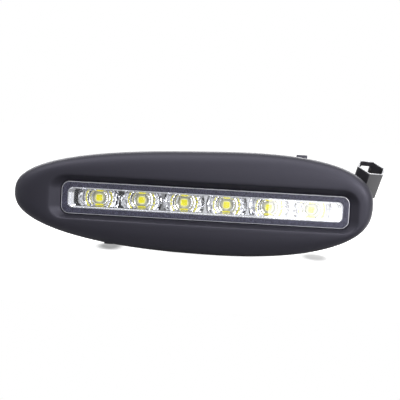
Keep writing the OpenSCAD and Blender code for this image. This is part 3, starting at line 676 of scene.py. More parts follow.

# %% [markdown]
# ## The lens
#
# Rounded loops run from the window's back face, round the tongue that sits in the seal, over
# the rolled front edge and onto the front face. The polished window stands a little proud
# inside the grained border, with a bevel round it that is painted pale, a painted highlight.
# Faces are sorted into the three finishes by which loops they lie between. It is one closed
# loft and not a pane with a frame round it, because light bends at every face of glass, also
# at those between two halves.

# %% Build the lens
LENS_R, LENS_ROLL, TONGUE_IN, TONGUE_W = 5.6, 0.9, 1.1, 1.2
WINDOW_L, WINDOW_H, WINDOW_R, WINDOW_STEP = 182.5, 13, 3.4, 0.5
WINDOW_RISE, WINDOW_BEVEL = 0.25, 0.35


def lens_loop(inset, y):
    return slot_loop(LENS_L - 2 * inset, LENS_H - 2 * inset, LENS_R - inset, y)


def window_loop(inset, y):
    return slot_loop(WINDOW_L - 2 * inset, WINDOW_H - 2 * inset, WINDOW_R - inset, y)


def build_lens():
    border = LENS_FRONT + WINDOW_RISE
    loops = [window_loop(0, LENS_BACK - WINDOW_STEP), window_loop(0, LENS_BACK)]
    inner = TONGUE_IN + TONGUE_W
    loops += [lens_loop(inner, LENS_BACK), lens_loop(inner, LENS_TONGUE)]
    loops += [lens_loop(TONGUE_IN, LENS_TONGUE), lens_loop(TONGUE_IN, LENS_BACK)]
    loops.append(lens_loop(0, LENS_BACK))
    for k in range(7):
        a = math.radians(15 * k)
        loops.append(lens_loop(LENS_ROLL * (1 - math.cos(a)), border + LENS_ROLL * (1 - math.sin(a))))
    window_at = len(loops)
    loops += [window_loop(-WINDOW_BEVEL, border), window_loop(0, LENS_FRONT)]
    points, faces = loft(loops)
    lens = solid("clear_lens", points, faces)
    dress(lens, grained_border, clear_window, polished_edge_painted_highlight)
    for i, face in enumerate(lens.data.polygons):
        ring = i // len(loops[0])
        if ring == 0 or ring >= window_at or i >= len(faces) - 2:
            face.material_index = 1
        # The rolled edge's middle rings and the window's bevel take the pale painted highlight
        if ring in (window_at - 4, window_at - 3, window_at):
            face.material_index = 2
    return lens


settle(build_lens(), ["lens"], "lens", sharp=20)

# %% [markdown]
# ## The chrome tray
#
# A rounded block has a trough sunk into it, and in the trough's floor one bowl for each LED.
# The trough begins with a chamfer that mirrors the bright studio above, below and at the ends,
# which draws the white line round the window. A bowl has an outer zone and three teeth inside
# it, the last one a small one at the LED's hole. Each tooth has a smooth chamfer on its tip,
# which mirrors as a thin bright circle, and between the tips the skin is cut into diamonds that
# tip each way, so that neighbours mirror different parts of the room. Above and below the LED a
# flat slants inwards, and in it one sees the yellow of the LED again. The diamonds are real
# faces, since a mirror shows at once whether its shape is there or only painted on.
#
# A zone below is given by its start and its end, each as a share of the way from the hole's
# radius to the bowl's and a share of the bowl's depth, and by its number of steps.

# %% Shape the bowls
BOWL_R, BOWL_DEPTH, HOLE_R = 13.8, 6.6, 4.3
SLANT_TOP, SLANT_BOTTOM = (5.5, 3.7), (4.0, 5.5)
BOWL_ZONES = [
    ((1.00, 0.00), (0.565, 0.50), 4),
    ((0.555, 0.275), (0.513, 0.305), 1),
    ((0.50, 0.33), (0.268, 0.74), 3),
    ((0.258, 0.60), (0.216, 0.63), 1),
    ((0.205, 0.65), (0.085, 0.88), 2),
    ((0.080, 0.86), (0.035, 0.89), 1),
]
SECTORS, FACET, BULGE = 44, 0.2, 0.03


def bowl_rings():
    rings = []
    for (r0, d0), (r1, d1), steps in BOWL_ZONES:
        for k in range(steps + 1):
            t = k / steps
            radius = HOLE_R + (BOWL_R - HOLE_R) * (r0 + (r1 - r0) * t)
            depth = BOWL_DEPTH * (d0 + (d1 - d0) * t + BULGE * math.sin(math.pi * t))
            rings.append((radius, depth, 0 if k in (0, steps) else FACET))
    return rings


def bowl(x, floor):
    loops = [round_loop(x, 0, BOWL_R, floor - 2, SECTORS)]
    for j, (radius, depth, push) in enumerate(bowl_rings()):
        a = (np.arange(SECTORS) + (j % 2) / 2) * 2 * math.pi / SECTORS
        loops.append(np.c_[x + radius * np.cos(a), floor + depth + push * np.cos(a * SECTORS / 2),
                           radius * np.sin(a)])
    loops.append(round_loop(x, 0, HOLE_R - 0.3, floor + BOWL_DEPTH, SECTORS))
    return loft(loops)


def cell(x, floor):
    (high, start), (low, end) = SLANT_TOP, SLANT_BOTTOM
    heights = ((high, -1), (high, start), (low, end), (low, BOWL_DEPTH + 3))
    loops = [slot_loop(4 * BOWL_R, 2 * side, 0.5, floor + depth) for side, depth in heights]
    return loft([loop + (x, 0, 0) for loop in loops])


print(len(bowl_rings()), "rings of", SECTORS, "points in a bowl")

# %% Build the tray
TRAY_R, TROUGH_SIDE, TROUGH_END, TROUGH_DEPTH, TROUGH_R = 4.4, 0.8, 3.4, 3, 2.9
CHAMFER_SIDE, CHAMFER_END, CHAMFER_DEPTH, END_DEPTH, CHAMFER_R = 0.75, 2.8, 0.45, 1.3, 3


def trough(floor):
    chamfer = slot_loop(WINDOW_L - 2 * CHAMFER_END, WINDOW_H - 2 * CHAMFER_SIDE, CHAMFER_R, TRAY_FRONT)
    end_start = WINDOW_L / 2 - CHAMFER_END - CHAMFER_R
    ends = np.clip((np.abs(chamfer[:, X]) - end_start) / CHAMFER_R, 0, 1)
    chamfer[:, Y] += CHAMFER_DEPTH + (END_DEPTH - CHAMFER_DEPTH) * np.sin(ends * math.pi / 2)
    return loft([window_loop(0, TRAY_FRONT - 1), window_loop(0, TRAY_FRONT + 0.1), chamfer,
                 slot_loop(WINDOW_L - 2 * TROUGH_END, WINDOW_H - 2 * TROUGH_SIDE, TROUGH_R, floor)])


def build_tray():
    floor = TRAY_FRONT + TROUGH_DEPTH
    tray = solid("chrome_tray", *loft([slot_loop(TRAY_L, TRAY_H, TRAY_R, y)
                                       for y in (TRAY_FRONT, TRAY_BACK)]))
    combine(tray, [solid("trough", *trough(floor))], "DIFFERENCE")
    for x in LED_X:
        cutter = solid("bowl", *bowl(x, floor))
        combine(cutter, [solid("cell", *cell(x, floor))], "INTERSECT")
        hole = pin(x, 0, HOLE_R, floor + BOWL_DEPTH - 0.5, TRAY_BACK + 1)
        combine(tray, [cutter, hole], "DIFFERENCE")
    return tray


settle(build_tray(), ["reflector"], "reflector", chrome, sharp=4)

# %% [markdown]
# ## LEDs
#
# Each LED is three pieces: a white body, a square of phosphor and a dome of clear silicone that
# magnifies it. The dome is half a ball, closed flat on the body, and the phosphor sits inside
# it as if cast in. The middle of the body's face is the cup, which has a finish of its own.
# Body, cup and phosphor have a painted glow. A ready-made sphere cut in half would do for the
# dome, but its profile is as short to write.

# %% Build the LEDs
DOME_R, DOME_STEPS, DOME_TIP_R = 2.9, 16, 0.02
CHIP, CHIP_T, CHIP_LIFT, BODY_R, BODY_ROUND, CUP_R = 3, 0.4, 0.01, 3.9, 0.25, 2.4
BODY_PROFILE = [(BODY_R, LED_BACK), (BODY_R, LED_FRONT + BODY_ROUND),
                (BODY_R - BODY_ROUND * 0.3, LED_FRONT + BODY_ROUND * 0.3),
                (BODY_R - BODY_ROUND, LED_FRONT), (CUP_R, LED_FRONT)]
DOME_PROFILE = [(DOME_R * math.cos(math.pi / 2 * k / DOME_STEPS),
                 LED_FRONT - DOME_R * math.sin(math.pi / 2 * k / DOME_STEPS))
                for k in range(DOME_STEPS)] + [(DOME_TIP_R, LED_FRONT - DOME_R)]

for i, x in enumerate(LED_X, start=1):
    body = turned(x, 0, BODY_PROFILE)
    body.name = f"led_body_{i}"
    dress(body, ceramic_painted_glow, cup_painted_glow)
    # The cup's face takes the pale finish with painted glow
    cup = body.data.polygons[len(body.data.polygons) - 1]
    cup.material_index = 1
    settle(body, [f"led_{i}"], "led_body")
    plate = solid(f"phosphor_{i}", *loft([plain_loop(x, 0, CHIP, CHIP, y) for y in
                                          (LED_FRONT - CHIP_LIFT, LED_FRONT - CHIP_T)]))
    settle(plate, [f"led_chip_{i}"], "phosphor", phosphor)
    dome = turned(x, 0, DOME_PROFILE)
    dome.name = f"dome_{i}"
    settle(dome, [f"led_dome_{i}"], "led_dome", silicone)

# %% [markdown]
# ## The plug socket
#
# The socket is a thin six-sided shell that leans to the right and towards the road, with a
# latch window in its far side. An elbow carries it from a flange on the driver box. Shell,
# flange and spigot are stacks of loops, and the elbow is swept along a curve that leaves the
# box to the right and ends along the shell's axis. The mouth's rim is rounded and painted pale
# grey, a painted highlight where the rim shines in the light. The shell is built upright at the
# origin, and one matrix leans it and puts it in its place, so its sizes stay plain numbers.

# %% Place the shell
BOX_LEFT, BOX_RIGHT = station("driver_cover", X, LOW), station("driver_cover", X, HIGH)
SPIGOT_Y = middle_of("driver_cover", Y)
SHELL_OUT, SHELL_UP, LEAN_RIGHT, LEAN_FRONT = 8.6, 13.5, math.radians(13), math.radians(24)
SHELL_R, SHELL_WALL, SHELL_L, SHELL_FLOOR, SHELL_TURN = 10.4, 1.3, 19, 2, math.radians(24)
shell_frame = (Matrix.Translation((BOX_RIGHT + SHELL_OUT, SPIGOT_Y, SHELL_UP))
               @ Matrix.Rotation(LEAN_RIGHT, 4, "Y") @ Matrix.Rotation(LEAN_FRONT, 4, "X"))


def on_shell(points):
    return np.array([shell_frame @ Vector(p) for p in points])


def hexagon(radius, rounding, z, steps=5):
    inner = radius - rounding / math.cos(math.pi / 6)
    points = []
    for k in range(6):
        corner = SHELL_TURN + k * math.pi / 3
        for n in range(steps + 1):
            a = corner + (n / steps - 0.5) * math.pi / 3
            points.append((inner * math.cos(corner) + rounding * math.cos(a),
                           inner * math.sin(corner) + rounding * math.sin(a), z))
    return points


print("plug socket leans", [round(math.degrees(a)) for a in (LEAN_RIGHT, LEAN_FRONT)], "degrees")

# %% [markdown]
# The shell's profile is a list of hexagons, each with its radius, the rounding of its corners
# and its height: up the outside from the closed end, over the rim and down the inside.

# %% Build the socket
LATCH_W, LATCH_H, LATCH_RIM = 7, 8.5, 3.5
SPIGOT_R, FLANGE_R, ELBOW_R = 3.5, 5.9, (4.3, 5.9)
ELBOW_START, ELBOW_PULL, ELBOW_PUSH, ELBOW_SUNK = 2.5, 3.5, 6, 0.5
BORE_R = SHELL_R - SHELL_WALL
SHELL_PROFILE = [(SHELL_R - 0.7, 1.0, 0), (SHELL_R - 0.15, 1.1, 0.25), (SHELL_R, 1.2, 0.8),
                 (SHELL_R, 1.2, SHELL_L - 0.5), (SHELL_R - 0.07, 1.2, SHELL_L - 0.2),
                 (SHELL_R - 0.25, 1.1, SHELL_L - 0.03), (BORE_R + 0.25, 0.8, SHELL_L - 0.03),
                 (BORE_R + 0.07, 0.7, SHELL_L - 0.2), (BORE_R, 0.6, SHELL_L - 0.5),
                 (BORE_R, 0.6, SHELL_FLOOR)]
# The rim's rings, which take the pale grey of the painted highlight
PAINTED_HIGHLIGHT_RINGS = (4, 5, 6)


def x_loop(x, radius, count=48):
    a = np.arange(count) * 2 * math.pi / count
    return np.c_[np.full(count, x), SPIGOT_Y + radius * np.cos(a), radius * np.sin(a)]


def elbow():
    start = Vector((BOX_RIGHT + ELBOW_START, SPIGOT_Y, 0))
    end = shell_frame @ Vector((0, 0, ELBOW_SUNK))
    axis = (shell_frame.to_3x3() @ Vector((0, 0, 1))).normalized()
    pull, push = start + Vector((ELBOW_PULL, 0, 0)), end - axis * ELBOW_PUSH
    angles = np.arange(40) * 2 * math.pi / 40
    loops = []
    for k in range(15):
        t = k / 14
        s = 1 - t
        centre = s**3 * start + 3 * s * s * t * pull + 3 * s * t * t * push + t**3 * end
        tangent = (s * s * (pull - start) + 2 * s * t * (push - pull) + t * t * (end - push))
        across = tangent.cross(Vector((0, 1, 0))).normalized()
        up = across.cross(tangent).normalized()
        radius = ELBOW_R[0] + (ELBOW_R[1] - ELBOW_R[0]) * t
        loops.append([centre + radius * (math.cos(a) * across + math.sin(a) * up) for a in angles])
    return loft(loops)


def build_socket():
    loops = [on_shell(hexagon(*step)) for step in SHELL_PROFILE]
    shell = solid("plug_socket", *loft(loops))
    dress(shell, plug_black, rim_painted_highlight)
    for i, face in enumerate(shell.data.polygons):
        face.material_index = int(i // len(loops[0]) in PAINTED_HIGHLIGHT_RINGS)
    middle = SHELL_L - LATCH_RIM - LATCH_H / 2
    turn = Matrix.Rotation(SHELL_TURN, 4, "Z")
    latch = [on_shell([turn @ Vector((p[0], p[1], p[2] + middle))
                       for p in slot_loop(LATCH_W, LATCH_H, 0.8, y, corner=4)])
             for y in (0, 2 * SHELL_R)]
    flange = [x_loop(BOX_RIGHT + x, r) for x, r in
              ((1, FLANGE_R - 0.3), (1.3, FLANGE_R), (2.3, FLANGE_R), (2.6, FLANGE_R - 0.3))]
    spigot = [x_loop(BOX_RIGHT + x, SPIGOT_R) for x in (-3.4, 2.6)]
    combine(shell, [solid("latch", *loft(latch))], "DIFFERENCE")
    return combine(shell, [solid("elbow", *elbow()), solid("flange", *loft(flange)),
                           solid("spigot", *loft(spigot))], "UNION")


settle(build_socket(), ["connector_shell"], "connector_shell")

# %% [markdown]
# ## The heat sink
#
# A die-cast plate closes the housing from behind and carries cooling fins on its left two
# thirds. Cast fins are never plain slabs: they are thicker at the root, so that they leave the
# mould, and round at the tip. The plate's rear edge is rounded too, and round pockets for the
# screw heads are cut through whatever fin is in the way. An Array modifier could repeat the
# fins. A list of places does it as shortly, and the fins then join the plate in one step.

# %% Build the heat sink
SINK_L, SINK_H = station("heat_sink", X, HIGH) * 2, station("heat_sink", Z, HIGH) * 2
SINK_FRONT, FIN_TIP = station("heat_sink", Y, LOW), station("heat_sink", Y, HIGH)
SINK_R, SINK_T, POCKET_R = 8, 3, 2.4
SINK_BACK = SINK_FRONT + SINK_T
FIN_H, FIN_ROOT, FIN_END, FIN_PITCH, FIN_START, FIN_STOP = 22, 1.7, 1.1, 5.6, 8.7, 5.3
SINK_SCREW_X, SINK_SCREW_Z = SINK_L / 2 - 10, SINK_H / 2 - 2.2
SINK_SCREWS = [(x * SINK_SCREW_X, z * SINK_SCREW_Z) for x in (-1, -1 / 3, 1 / 3, 1) for z in (-1, 1)]


def fin(x):
    # Depth, thickness and how much the fin is shorter there than at its root
    steps = ((SINK_BACK - 0.5, FIN_ROOT, 0), (FIN_TIP - 0.5, FIN_END, 0.3),
             (FIN_TIP - 0.15, FIN_END - 0.3, 0.45), (FIN_TIP, FIN_END - 0.7, 0.8))
    return [slot_loop(wide, FIN_H - 2 * inset, wide * 0.35, y, corner=3) + (x, 0, 0)
            for y, wide, inset in steps]


def build_heat_sink():
    sink = solid("finned_plate", *loft([
        slot_loop(SINK_L - 2 * inset, SINK_H - 2 * inset, SINK_R - inset, y)
        for inset, y in ((0, SINK_FRONT), (0, SINK_BACK - 0.6), (0.18, SINK_BACK - 0.18),
                         (0.6, SINK_BACK))]))
    places = np.arange(FIN_START - SINK_L / 2, BOX_LEFT - FIN_STOP, FIN_PITCH)
    combine(sink, [solid("fin", *loft(fin(x))) for x in places], "UNION")
    print(len(places), "fins")
    pockets = [pin(x, z, POCKET_R, SINK_BACK - 0.01, FIN_TIP + 1) for x, z in SINK_SCREWS]
    return combine(sink, pockets, "DIFFERENCE")


settle(build_heat_sink(), ["heat_sink"], "heat_sink", cast_aluminium)

# %% [markdown]
# ## The driver box
#
# The box is a moulded cap over the driver board: rounded along its rear edge, hollow, with a
# column in each corner for a screw, a hole for the vent and one in its end for the socket's
# spigot. The hollow is cut out as one solid that has the columns taken away from it before. A
# Solidify modifier would give the wall too, but then each column would have to be added.

# %% Build the driver box
BOX_X, BOX_L = (BOX_LEFT + BOX_RIGHT) / 2, BOX_RIGHT - BOX_LEFT
BOX_H = station("driver_cover", Z, HIGH) * 2
BOX_FRONT, BOX_BACK = station("driver_cover", Y, LOW), station("driver_cover", Y, HIGH)
BOX_R, BOX_WALL, BOX_ROUND, HOLLOW_R = 4, 2, 1.2, 2.5
COLUMN_IN, COLUMN_R, COLUMN_HOLE_R, VENT_HOLE_R, SPIGOT_GAP = 3.2, 3, 1.45, 1.6, 0.1
VENT_X = middle_of("breather_vent", X)
BOX_SCREWS = [(x, z * (BOX_H / 2 - COLUMN_IN))
              for x in (BOX_LEFT + COLUMN_IN, BOX_RIGHT - COLUMN_IN) for z in (-1, 1)]


def box_loop(inset, radius, y):
    return slot_loop(BOX_L - 2 * inset, BOX_H - 2 * inset, radius, y) + (BOX_X, 0, 0)


def build_driver_box():
    steps = [(0, BOX_FRONT)]
    for k in range(6):
        a = math.radians(18 * k)
        steps.append((BOX_ROUND * (1 - math.cos(a)), BOX_BACK - BOX_ROUND * (1 - math.sin(a))))
    box = solid("driver_box", *loft([box_loop(inset, BOX_R - inset, y) for inset, y in steps]))
    hollow = solid("hollow", *loft([box_loop(BOX_WALL, HOLLOW_R, BOX_FRONT - 1),
                                    box_loop(BOX_WALL, HOLLOW_R, BOX_BACK - BOX_WALL)]))
    columns = [pin(x, z, COLUMN_R, BOX_FRONT - 2, BOX_BACK) for x, z in BOX_SCREWS]
    combine(hollow, columns, "DIFFERENCE")
    holes = [pin(x, z, COLUMN_HOLE_R, BOX_FRONT - 1, BOX_BACK + 1) for x, z in BOX_SCREWS]
    holes.append(pin(VENT_X, 0, VENT_HOLE_R, BOX_BACK - BOX_WALL - 1, BOX_BACK + 1))
    holes.append(solid("spigot_hole", *loft([x_loop(BOX_RIGHT + x, SPIGOT_R + SPIGOT_GAP)
                                             for x in (-3, 1)])))
    return combine(box, [hollow] + holes, "DIFFERENCE")


settle(build_driver_box(), ["driver_cover"], "housing", housing_black)

# %% [markdown]
# ## Screws
#
# Sixteen pan-head screws hold the back together: eight the plate, four the driver box and four
# the brackets' feet. A head is a turned profile with a cross recess: two tapered bars, cut out
# with the solver. The screws of one size become one piece, as their CAD node is. A size is
# given by the head's radius, the head's height and the shank's radius.

# %% Build the screws


def bar(x, z, long, wide, start, end, taper):
    return solid("bar", *loft([plain_loop(x, z, long * scale, wide * scale, y)
                               for y, scale in ((start, taper), (end, 1))]))


def screw(x, z, seat, head_r, head_t, shank_r, tip):
    top = seat + head_t
    profile = [(shank_r * 0.5, tip), (shank_r, tip + shank_r * 0.6), (shank_r, seat + 0.01),
               (head_r, seat), (head_r, seat + head_t * 0.35), (head_r * 0.96, seat + head_t * 0.6),
               (head_r * 0.84, seat + head_t * 0.85), (head_r * 0.62, top)]
    made = turned(x, z, profile, SCREW_FACETS)
    for long, wide in ((head_r * 1.1, head_r * 0.26), (head_r * 0.26, head_r * 1.1)):
        combine(made, [bar(x, z, long, wide, top - head_t * 0.6, top + 0.2, 0.5)], "DIFFERENCE")
    return made


def screws(name, cad_node, places, seat, head_r, head_t, shank_r):
    tip = station(cad_node, Y, LOW)
    made = [screw(x, z, seat, head_r, head_t, shank_r, tip) for x, z in places]
    first = made[0]
    first.name = name
    combine(first, made[1:], "UNION")
    settle(first, [cad_node], "screws", screw_steel)


SCREW_FACETS, EAR_T, STRIP_T = 36, 3, 2
EAR_BACK = EAR + EAR_T
screws("plate_screws", "heat_sink_screws", SINK_SCREWS, SINK_BACK, 2.1, 1.3, 1.25)
screws("box_screws", "cover_screws", BOX_SCREWS, BOX_BACK, 2.2, 1.4, 1.25)
screws("ear_screws", "bezel_screws", EAR_SCREWS, EAR_BACK + STRIP_T, 2.7, 2, 1.5)

# %% [markdown]
# ## The vent
#
# The vent lets air in and out of the driver box and keeps water out. It is a flat cap on a
# short stem, with a cross of grooves under it that leads the air to its rim.

# %% Build the vent
STEM_R, CAP_R, GROOVE_W, GROOVE_H = 1.55, 3.4, 0.5, 0.6
VENT_PROFILE = [(STEM_R, BOX_BACK - BOX_WALL), (STEM_R, BOX_BACK), (CAP_R, BOX_BACK),
                (CAP_R, BOX_BACK + 0.7), (CAP_R - 0.15, BOX_BACK + 1.05),
                (CAP_R - 0.5, BOX_BACK + 1.2)]
vent = turned(VENT_X, 0, VENT_PROFILE, SCREW_FACETS)
vent.name = "vent_cap"
grooves = [bar(VENT_X, 0, long, wide, BOX_BACK, BOX_BACK + GROOVE_H, 1)
           for long, wide in ((8, GROOVE_W), (GROOVE_W, 8))]
combine(vent, grooves, "DIFFERENCE")
settle(vent, ["breather_vent"], "vent", plug_black)

# %% [markdown]
# ## The brackets
#
# Each bracket is a strip of zinc-plated steel, bent into a bridge: feet on the housing's ears,
# legs past the housing and a web that is bolted to the car. The strip's section, a rectangle
# with rounded edges, is swept along the bent centre line and narrowed at both ends, which
# rounds the corners of the feet. It is the way the real one is made, so every bend keeps the
# strip's thickness, which a box with cut corners would not.

# %% Bend the brackets
STRIP_W, EDGE_R, BEND_R, FOOT_R, FOOT_OUT, LEG_GAP = 14, 0.35, 2.5, 3, 4.8, 1.4
BOLT_HOLE_R, FOOT_HOLE_R, WEB_INNER = 2.75, 1.8, 4
FOOT_Z, LEG_Z = SCREW_Z + FOOT_OUT, SINK_H / 2 + LEG_GAP + STRIP_T / 2
FOOT_Y, WEB_Y = EAR_BACK + STRIP_T / 2, -STRIP_T / 2


def arc(cz, cy, start, end, steps=8):
    angles = [math.radians(start + (end - start) * k / steps) for k in range(steps + 1)]
    return [(cz + BEND_R * math.cos(a), cy + BEND_R * math.sin(a)) for a in angles]


def centre_line():
    ends = [(FOOT_Z - FOOT_R * (1 - math.cos(math.radians(15 * k))), FOOT_Y) for k in range(7)]
    half = ends + arc(LEG_Z + BEND_R, FOOT_Y + BEND_R, -90, -180)
    half += arc(LEG_Z - BEND_R, WEB_Y - BEND_R, 0, 90) + [(WEB_INNER, WEB_Y)]
    return half + [(-z, y) for z, y in reversed(half)]


def strip_section(width):
    w, h, e = width / 2, STRIP_T / 2, EDGE_R
    corners = ((w - e, h - e, 0), (-w + e, h - e, 90), (-w + e, -h + e, 180), (w - e, -h + e, 270))
    return [(x + e * math.cos(math.radians(s + 30 * k)), v + e * math.sin(math.radians(s + 30 * k)))
            for x, v, s in corners for k in range(4)]


def bend_bracket(name, cad_node, x):
    line = centre_line()
    loops = []
    for k, (z, y) in enumerate(line):
        before, after = line[max(k - 1, 0)], line[min(k + 1, len(line) - 1)]
        run = Vector((after[0] - before[0], after[1] - before[1])).normalized()
        gap = FOOT_Z - abs(z)
        width = STRIP_W
        if gap < FOOT_R and y == FOOT_Y:
            width = STRIP_W - 2 * FOOT_R + 2 * math.sqrt(FOOT_R**2 - (FOOT_R - gap) ** 2)
        loops.append([(x + u, y + v * run[0], z - v * run[1]) for u, v in strip_section(width)])
    strip = solid(name, *loft(loops))
    holes = [pin(x, 0, BOLT_HOLE_R, WEB_Y - STRIP_T, WEB_Y + STRIP_T)]
    holes += [pin(x, z, FOOT_HOLE_R, FOOT_Y - STRIP_T, FOOT_Y + STRIP_T)
              for z in (-SCREW_Z, SCREW_Z)]
    combine(strip, holes, "DIFFERENCE")
    settle(strip, [cad_node], "bracket", zinc)


bend_bracket("bent_strip_left", "bracket_left", -SCREW_X)
bend_bracket("bent_strip_right", "bracket_right", SCREW_X)

# %% [markdown]
# ## The studio
#
# The lamp stands on a white floor in a white studio with a dark end, where the camera stands.
# Mirrors and glass need that dark end: without it every facet of the chrome would be the same
# white. The camera itself sees plain white behind the lamp. For light that falls on the lamp
# the world is a dim even grey, so that the softboxes shape it. A panorama of a real studio is
# the usual way, but a few nodes that ask what kind of ray meets the world give the same with no
# file, and each of the three answers can be set by itself. `larger` and `blend` combine them.

# %% Choose by the kind of ray
WORLD_LIGHT, DARK_END, DARK_EDGE, WHITE_EDGE = 0.13, 0.06, -0.975, -0.8


def larger(tree, first, second):
    most = node(tree, "ShaderNodeMath", operation="MAXIMUM")
    tree.links.new(first, most.inputs[0])
    tree.links.new(second, most.inputs[1])
    return most.outputs[0]


def blend(tree, share, start, end):
    mix = node(tree, "ShaderNodeMix", data_type="FLOAT")
    for socket, value in zip((mix.inputs[0], mix.inputs[2], mix.inputs[3]), (share, start, end)):
        if isinstance(value, (int, float)):
            socket.default_value = value
        else:
            tree.links.new(value, socket)
    return mix.outputs[0]


def mirror_ray(tree, path):
    return larger(tree, path.outputs["Is Glossy Ray"], path.outputs["Is Transmission Ray"])


# %% Light the world
world = bpy.data.worlds.new("studio")
bpy.context.scene.world = world
world.use_nodes = True
studio = world.node_tree
towards = node(studio, "ShaderNodeSeparateXYZ")
studio.links.new(node(studio, "ShaderNodeTexCoord").outputs["Generated"], towards.inputs[0])
room = node(studio, "ShaderNodeMapRange", interpolation_type="SMOOTHSTEP",
            From_Min=DARK_EDGE, From_Max=WHITE_EDGE, To_Min=DARK_END, To_Max=1)
studio.links.new(towards.outputs["Y"], room.inputs["Value"])
path = node(studio, "ShaderNodeLightPath")
lamp_side = blend(studio, mirror_ray(studio, path), WORLD_LIGHT, room.outputs["Result"])
level = blend(studio, path.outputs["Is Camera Ray"], lamp_side, 1.0)
studio.links.new(level, studio.nodes["Background"].inputs["Strength"])
studio.nodes["Background"].inputs["Color"].default_value = (1, 1, 1, 1)
print("world", WORLD_LIGHT, "for light,", DARK_END, "at the dark end, 1 for the camera")

# %% [markdown]
# ## Floor
#
# The floor is a table top that ends a foot in front of the lamp, so that the lens and the
# tray's flats mirror the dark end of the room and not the table. Its paint is darker in front
# of the lamp, so that it throws little light up at the lamp's underside, and mirrors see it
# bright on the right, beside the plug socket. To the camera it glows white in addition, except
# for two soft discs below the lamp's left and right thirds, which are its contact shadows. They
# are painted because the glow that makes the floor white would wash out the real ones.

# %% Floor's shader
FLOOR_GLOW, FLOOR_MIRRORED, FLOOR_FRONT, FLOOR_END = 0.9, 0.1, -300, 3000
PAINT_DARK, PAINT_LIGHT, PAINT_SHADED = 0.2, 0.8, 0.05
table = cad_low.z / MM
floor_white = finish(
    "floor_white", (0.8, 0.8, 0.83), Roughness=0.9, Emission_Color=(1, 1, 1, 1)
)
tree = floor_white.node_tree
path = node(tree, "ShaderNodeLightPath")
spot = node(tree, "ShaderNodeTexCoord").outputs["Object"]
along = node(tree, "ShaderNodeSeparateXYZ")
tree.links.new(spot, along.inputs[0])


def ramp(axis, start, end, first, last):
    made = node(tree, "ShaderNodeMapRange", interpolation_type="SMOOTHSTEP",
                From_Min=start * MM, From_Max=end * MM, To_Min=first, To_Max=last)
    tree.links.new(along.outputs[axis], made.inputs["Value"])
    return made.outputs["Result"]


def shadow(x, y, wide, deep, strength):
    place = node(tree, "ShaderNodeMapping", vector_type="TEXTURE",
                 Location=(x * MM, y * MM, table * MM), Scale=(wide * MM, deep * MM, 1))
    tree.links.new(spot, place.inputs["Vector"])
    disc = node(tree, "ShaderNodeTexGradient", gradient_type="SPHERICAL")
    tree.links.new(place.outputs["Vector"], disc.inputs["Vector"])
    soft = node(tree, "ShaderNodeMapRange", interpolation_type="SMOOTHSTEP",
                From_Max=0.7, To_Max=strength)
    tree.links.new(disc.outputs["Fac"], soft.inputs["Value"])
    return soft.outputs["Result"]


# %% Paint and lay the floor
shaded = larger(tree, shadow(-63.5, -15, 13, 36, 0.8), shadow(77, -12, 14, 38, 0.6))
seen_glow = blend(tree, shaded, FLOOR_GLOW, 0.0)
mirrored_glow = blend(tree, mirror_ray(tree, path), 0.0, ramp("X", 120, 160, FLOOR_MIRRORED, 1.0))
glow = blend(tree, path.outputs["Is Camera Ray"], mirrored_glow, seen_glow)
tree.links.new(glow, shader_of(floor_white).inputs["Emission Strength"])
paint = blend(tree, shaded, ramp("Y", -100, 30, PAINT_DARK, PAINT_LIGHT), PAINT_SHADED)
tree.links.new(paint, shader_of(floor_white).inputs["Base Color"])
corners = [(-FLOOR_END, FLOOR_FRONT, table), (FLOOR_END, FLOOR_FRONT, table),
           (FLOOR_END, FLOOR_END, table), (-FLOOR_END, FLOOR_END, table)]
ground = solid("floor", corners, [(0, 1, 2, 3)])
dress(ground, floor_white)
print("floor at", round(table, 1), "mm")

# %% [markdown]
# ## Softboxes
#
# The key light is a tall softbox just right of the camera, and the polished window mirrors its
# left edge. Two dim cards beside it make the tray's flats grow lighter towards the right. A
# wide box overhead, a little in front of the lamp, and a low strip behind it give the bezel its
# bright upper edge. A small strong one near the right end lights that end more than the rest,
# and a weak one on the left draws the left tip. Area lamps suit this best, since a mirror shows
# them in their true shape. Places and sizes are in metres, and a softbox is given by how bright
# its face is, so that its size can change while its brightness stays.

# %% Lights


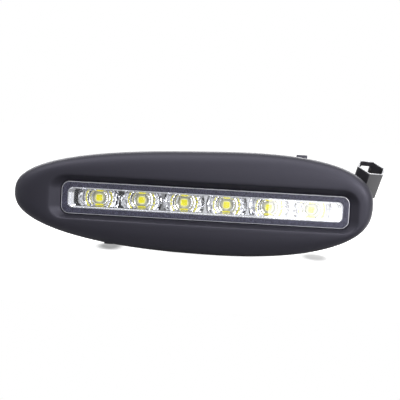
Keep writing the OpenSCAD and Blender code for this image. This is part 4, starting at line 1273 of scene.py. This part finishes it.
def softbox(name, place, target, width, height, radiance):
    light = bpy.data.lights.new(name, "AREA")
    light.shape, light.size, light.size_y = "RECTANGLE", width, height
    light.energy = radiance * math.pi * width * height
    lamp = bpy.data.objects.new(name, light)
    lamp.location = place
    aim = Vector(target) - Vector(place)
    lamp.rotation_mode = "QUATERNION"
    lamp.rotation_quaternion = aim.to_track_quat("-Z", "Y")
    lamp.visible_camera = False
    bpy.context.scene.collection.objects.link(lamp)
    print(name, "softbox", width, "by", height, "m,", round(light.energy, 2), "W")


softbox("key", (0.225, -1.04, 0.2), (0.225, 0, 0.2), 0.274, 0.64, 5.4)
softbox("near_card", (0.0415, -1.04, -0.05), (0.0415, 0, -0.05), 0.093, 0.3, 0.7)
softbox("far_card", (-0.0425, -1.04, -0.05), (-0.0425, 0, -0.05), 0.075, 0.3, 0.2)
softbox("top", (-0.05, -0.35, 0.88), (-0.05, -0.02, 0), 1.8, 0.6, 3.2)
softbox("rim", (-0.05, 0.9, 0.45), (-0.05, -0.02, 0), 1.6, 0.4, 5)
softbox("right", (0.42, -0.4, 0.2), (0.11, -0.045, 0), 0.2, 0.2, 16)
softbox("left", (-1.1, -0.3, 0.1), (-0.1, -0.03, 0), 0.5, 0.6, 0.7)

# %% [markdown]
# ## Camera
#
# The camera stands a metre in front of the lamp, four degrees above it, with a long lens that
# shows little perspective. It is rolled a little, so that the strip runs down to the right. The
# lamp could be tilted instead, but it stays upright in its frame, where its sizes are plain.

# %% Camera
LOOK_AT = Vector((-0.0037, -0.043, 0.0031))
DISTANCE, ELEVATION, ROLL_ANGLE = 1.0, math.radians(4), math.radians(3.3)
FOCAL, SENSOR = 135.6, 36
camera_data = bpy.data.cameras.new("camera")
camera_data.lens, camera_data.sensor_width = FOCAL, SENSOR
camera = bpy.data.objects.new("camera", camera_data)
bpy.context.scene.collection.objects.link(camera)
back = Vector((0, -math.cos(ELEVATION), math.sin(ELEVATION)))
camera.location = LOOK_AT + back * DISTANCE
turn = (-back).to_track_quat("-Z", "Y").to_matrix() @ Matrix.Rotation(ROLL_ANGLE, 3, "Z")
camera.rotation_mode = "QUATERNION"
camera.rotation_quaternion = turn.to_quaternion()
bpy.context.scene.camera = camera
bpy.context.scene.view_settings.view_transform = "Standard"
print("camera at", [round(v, 3) for v in camera.location])
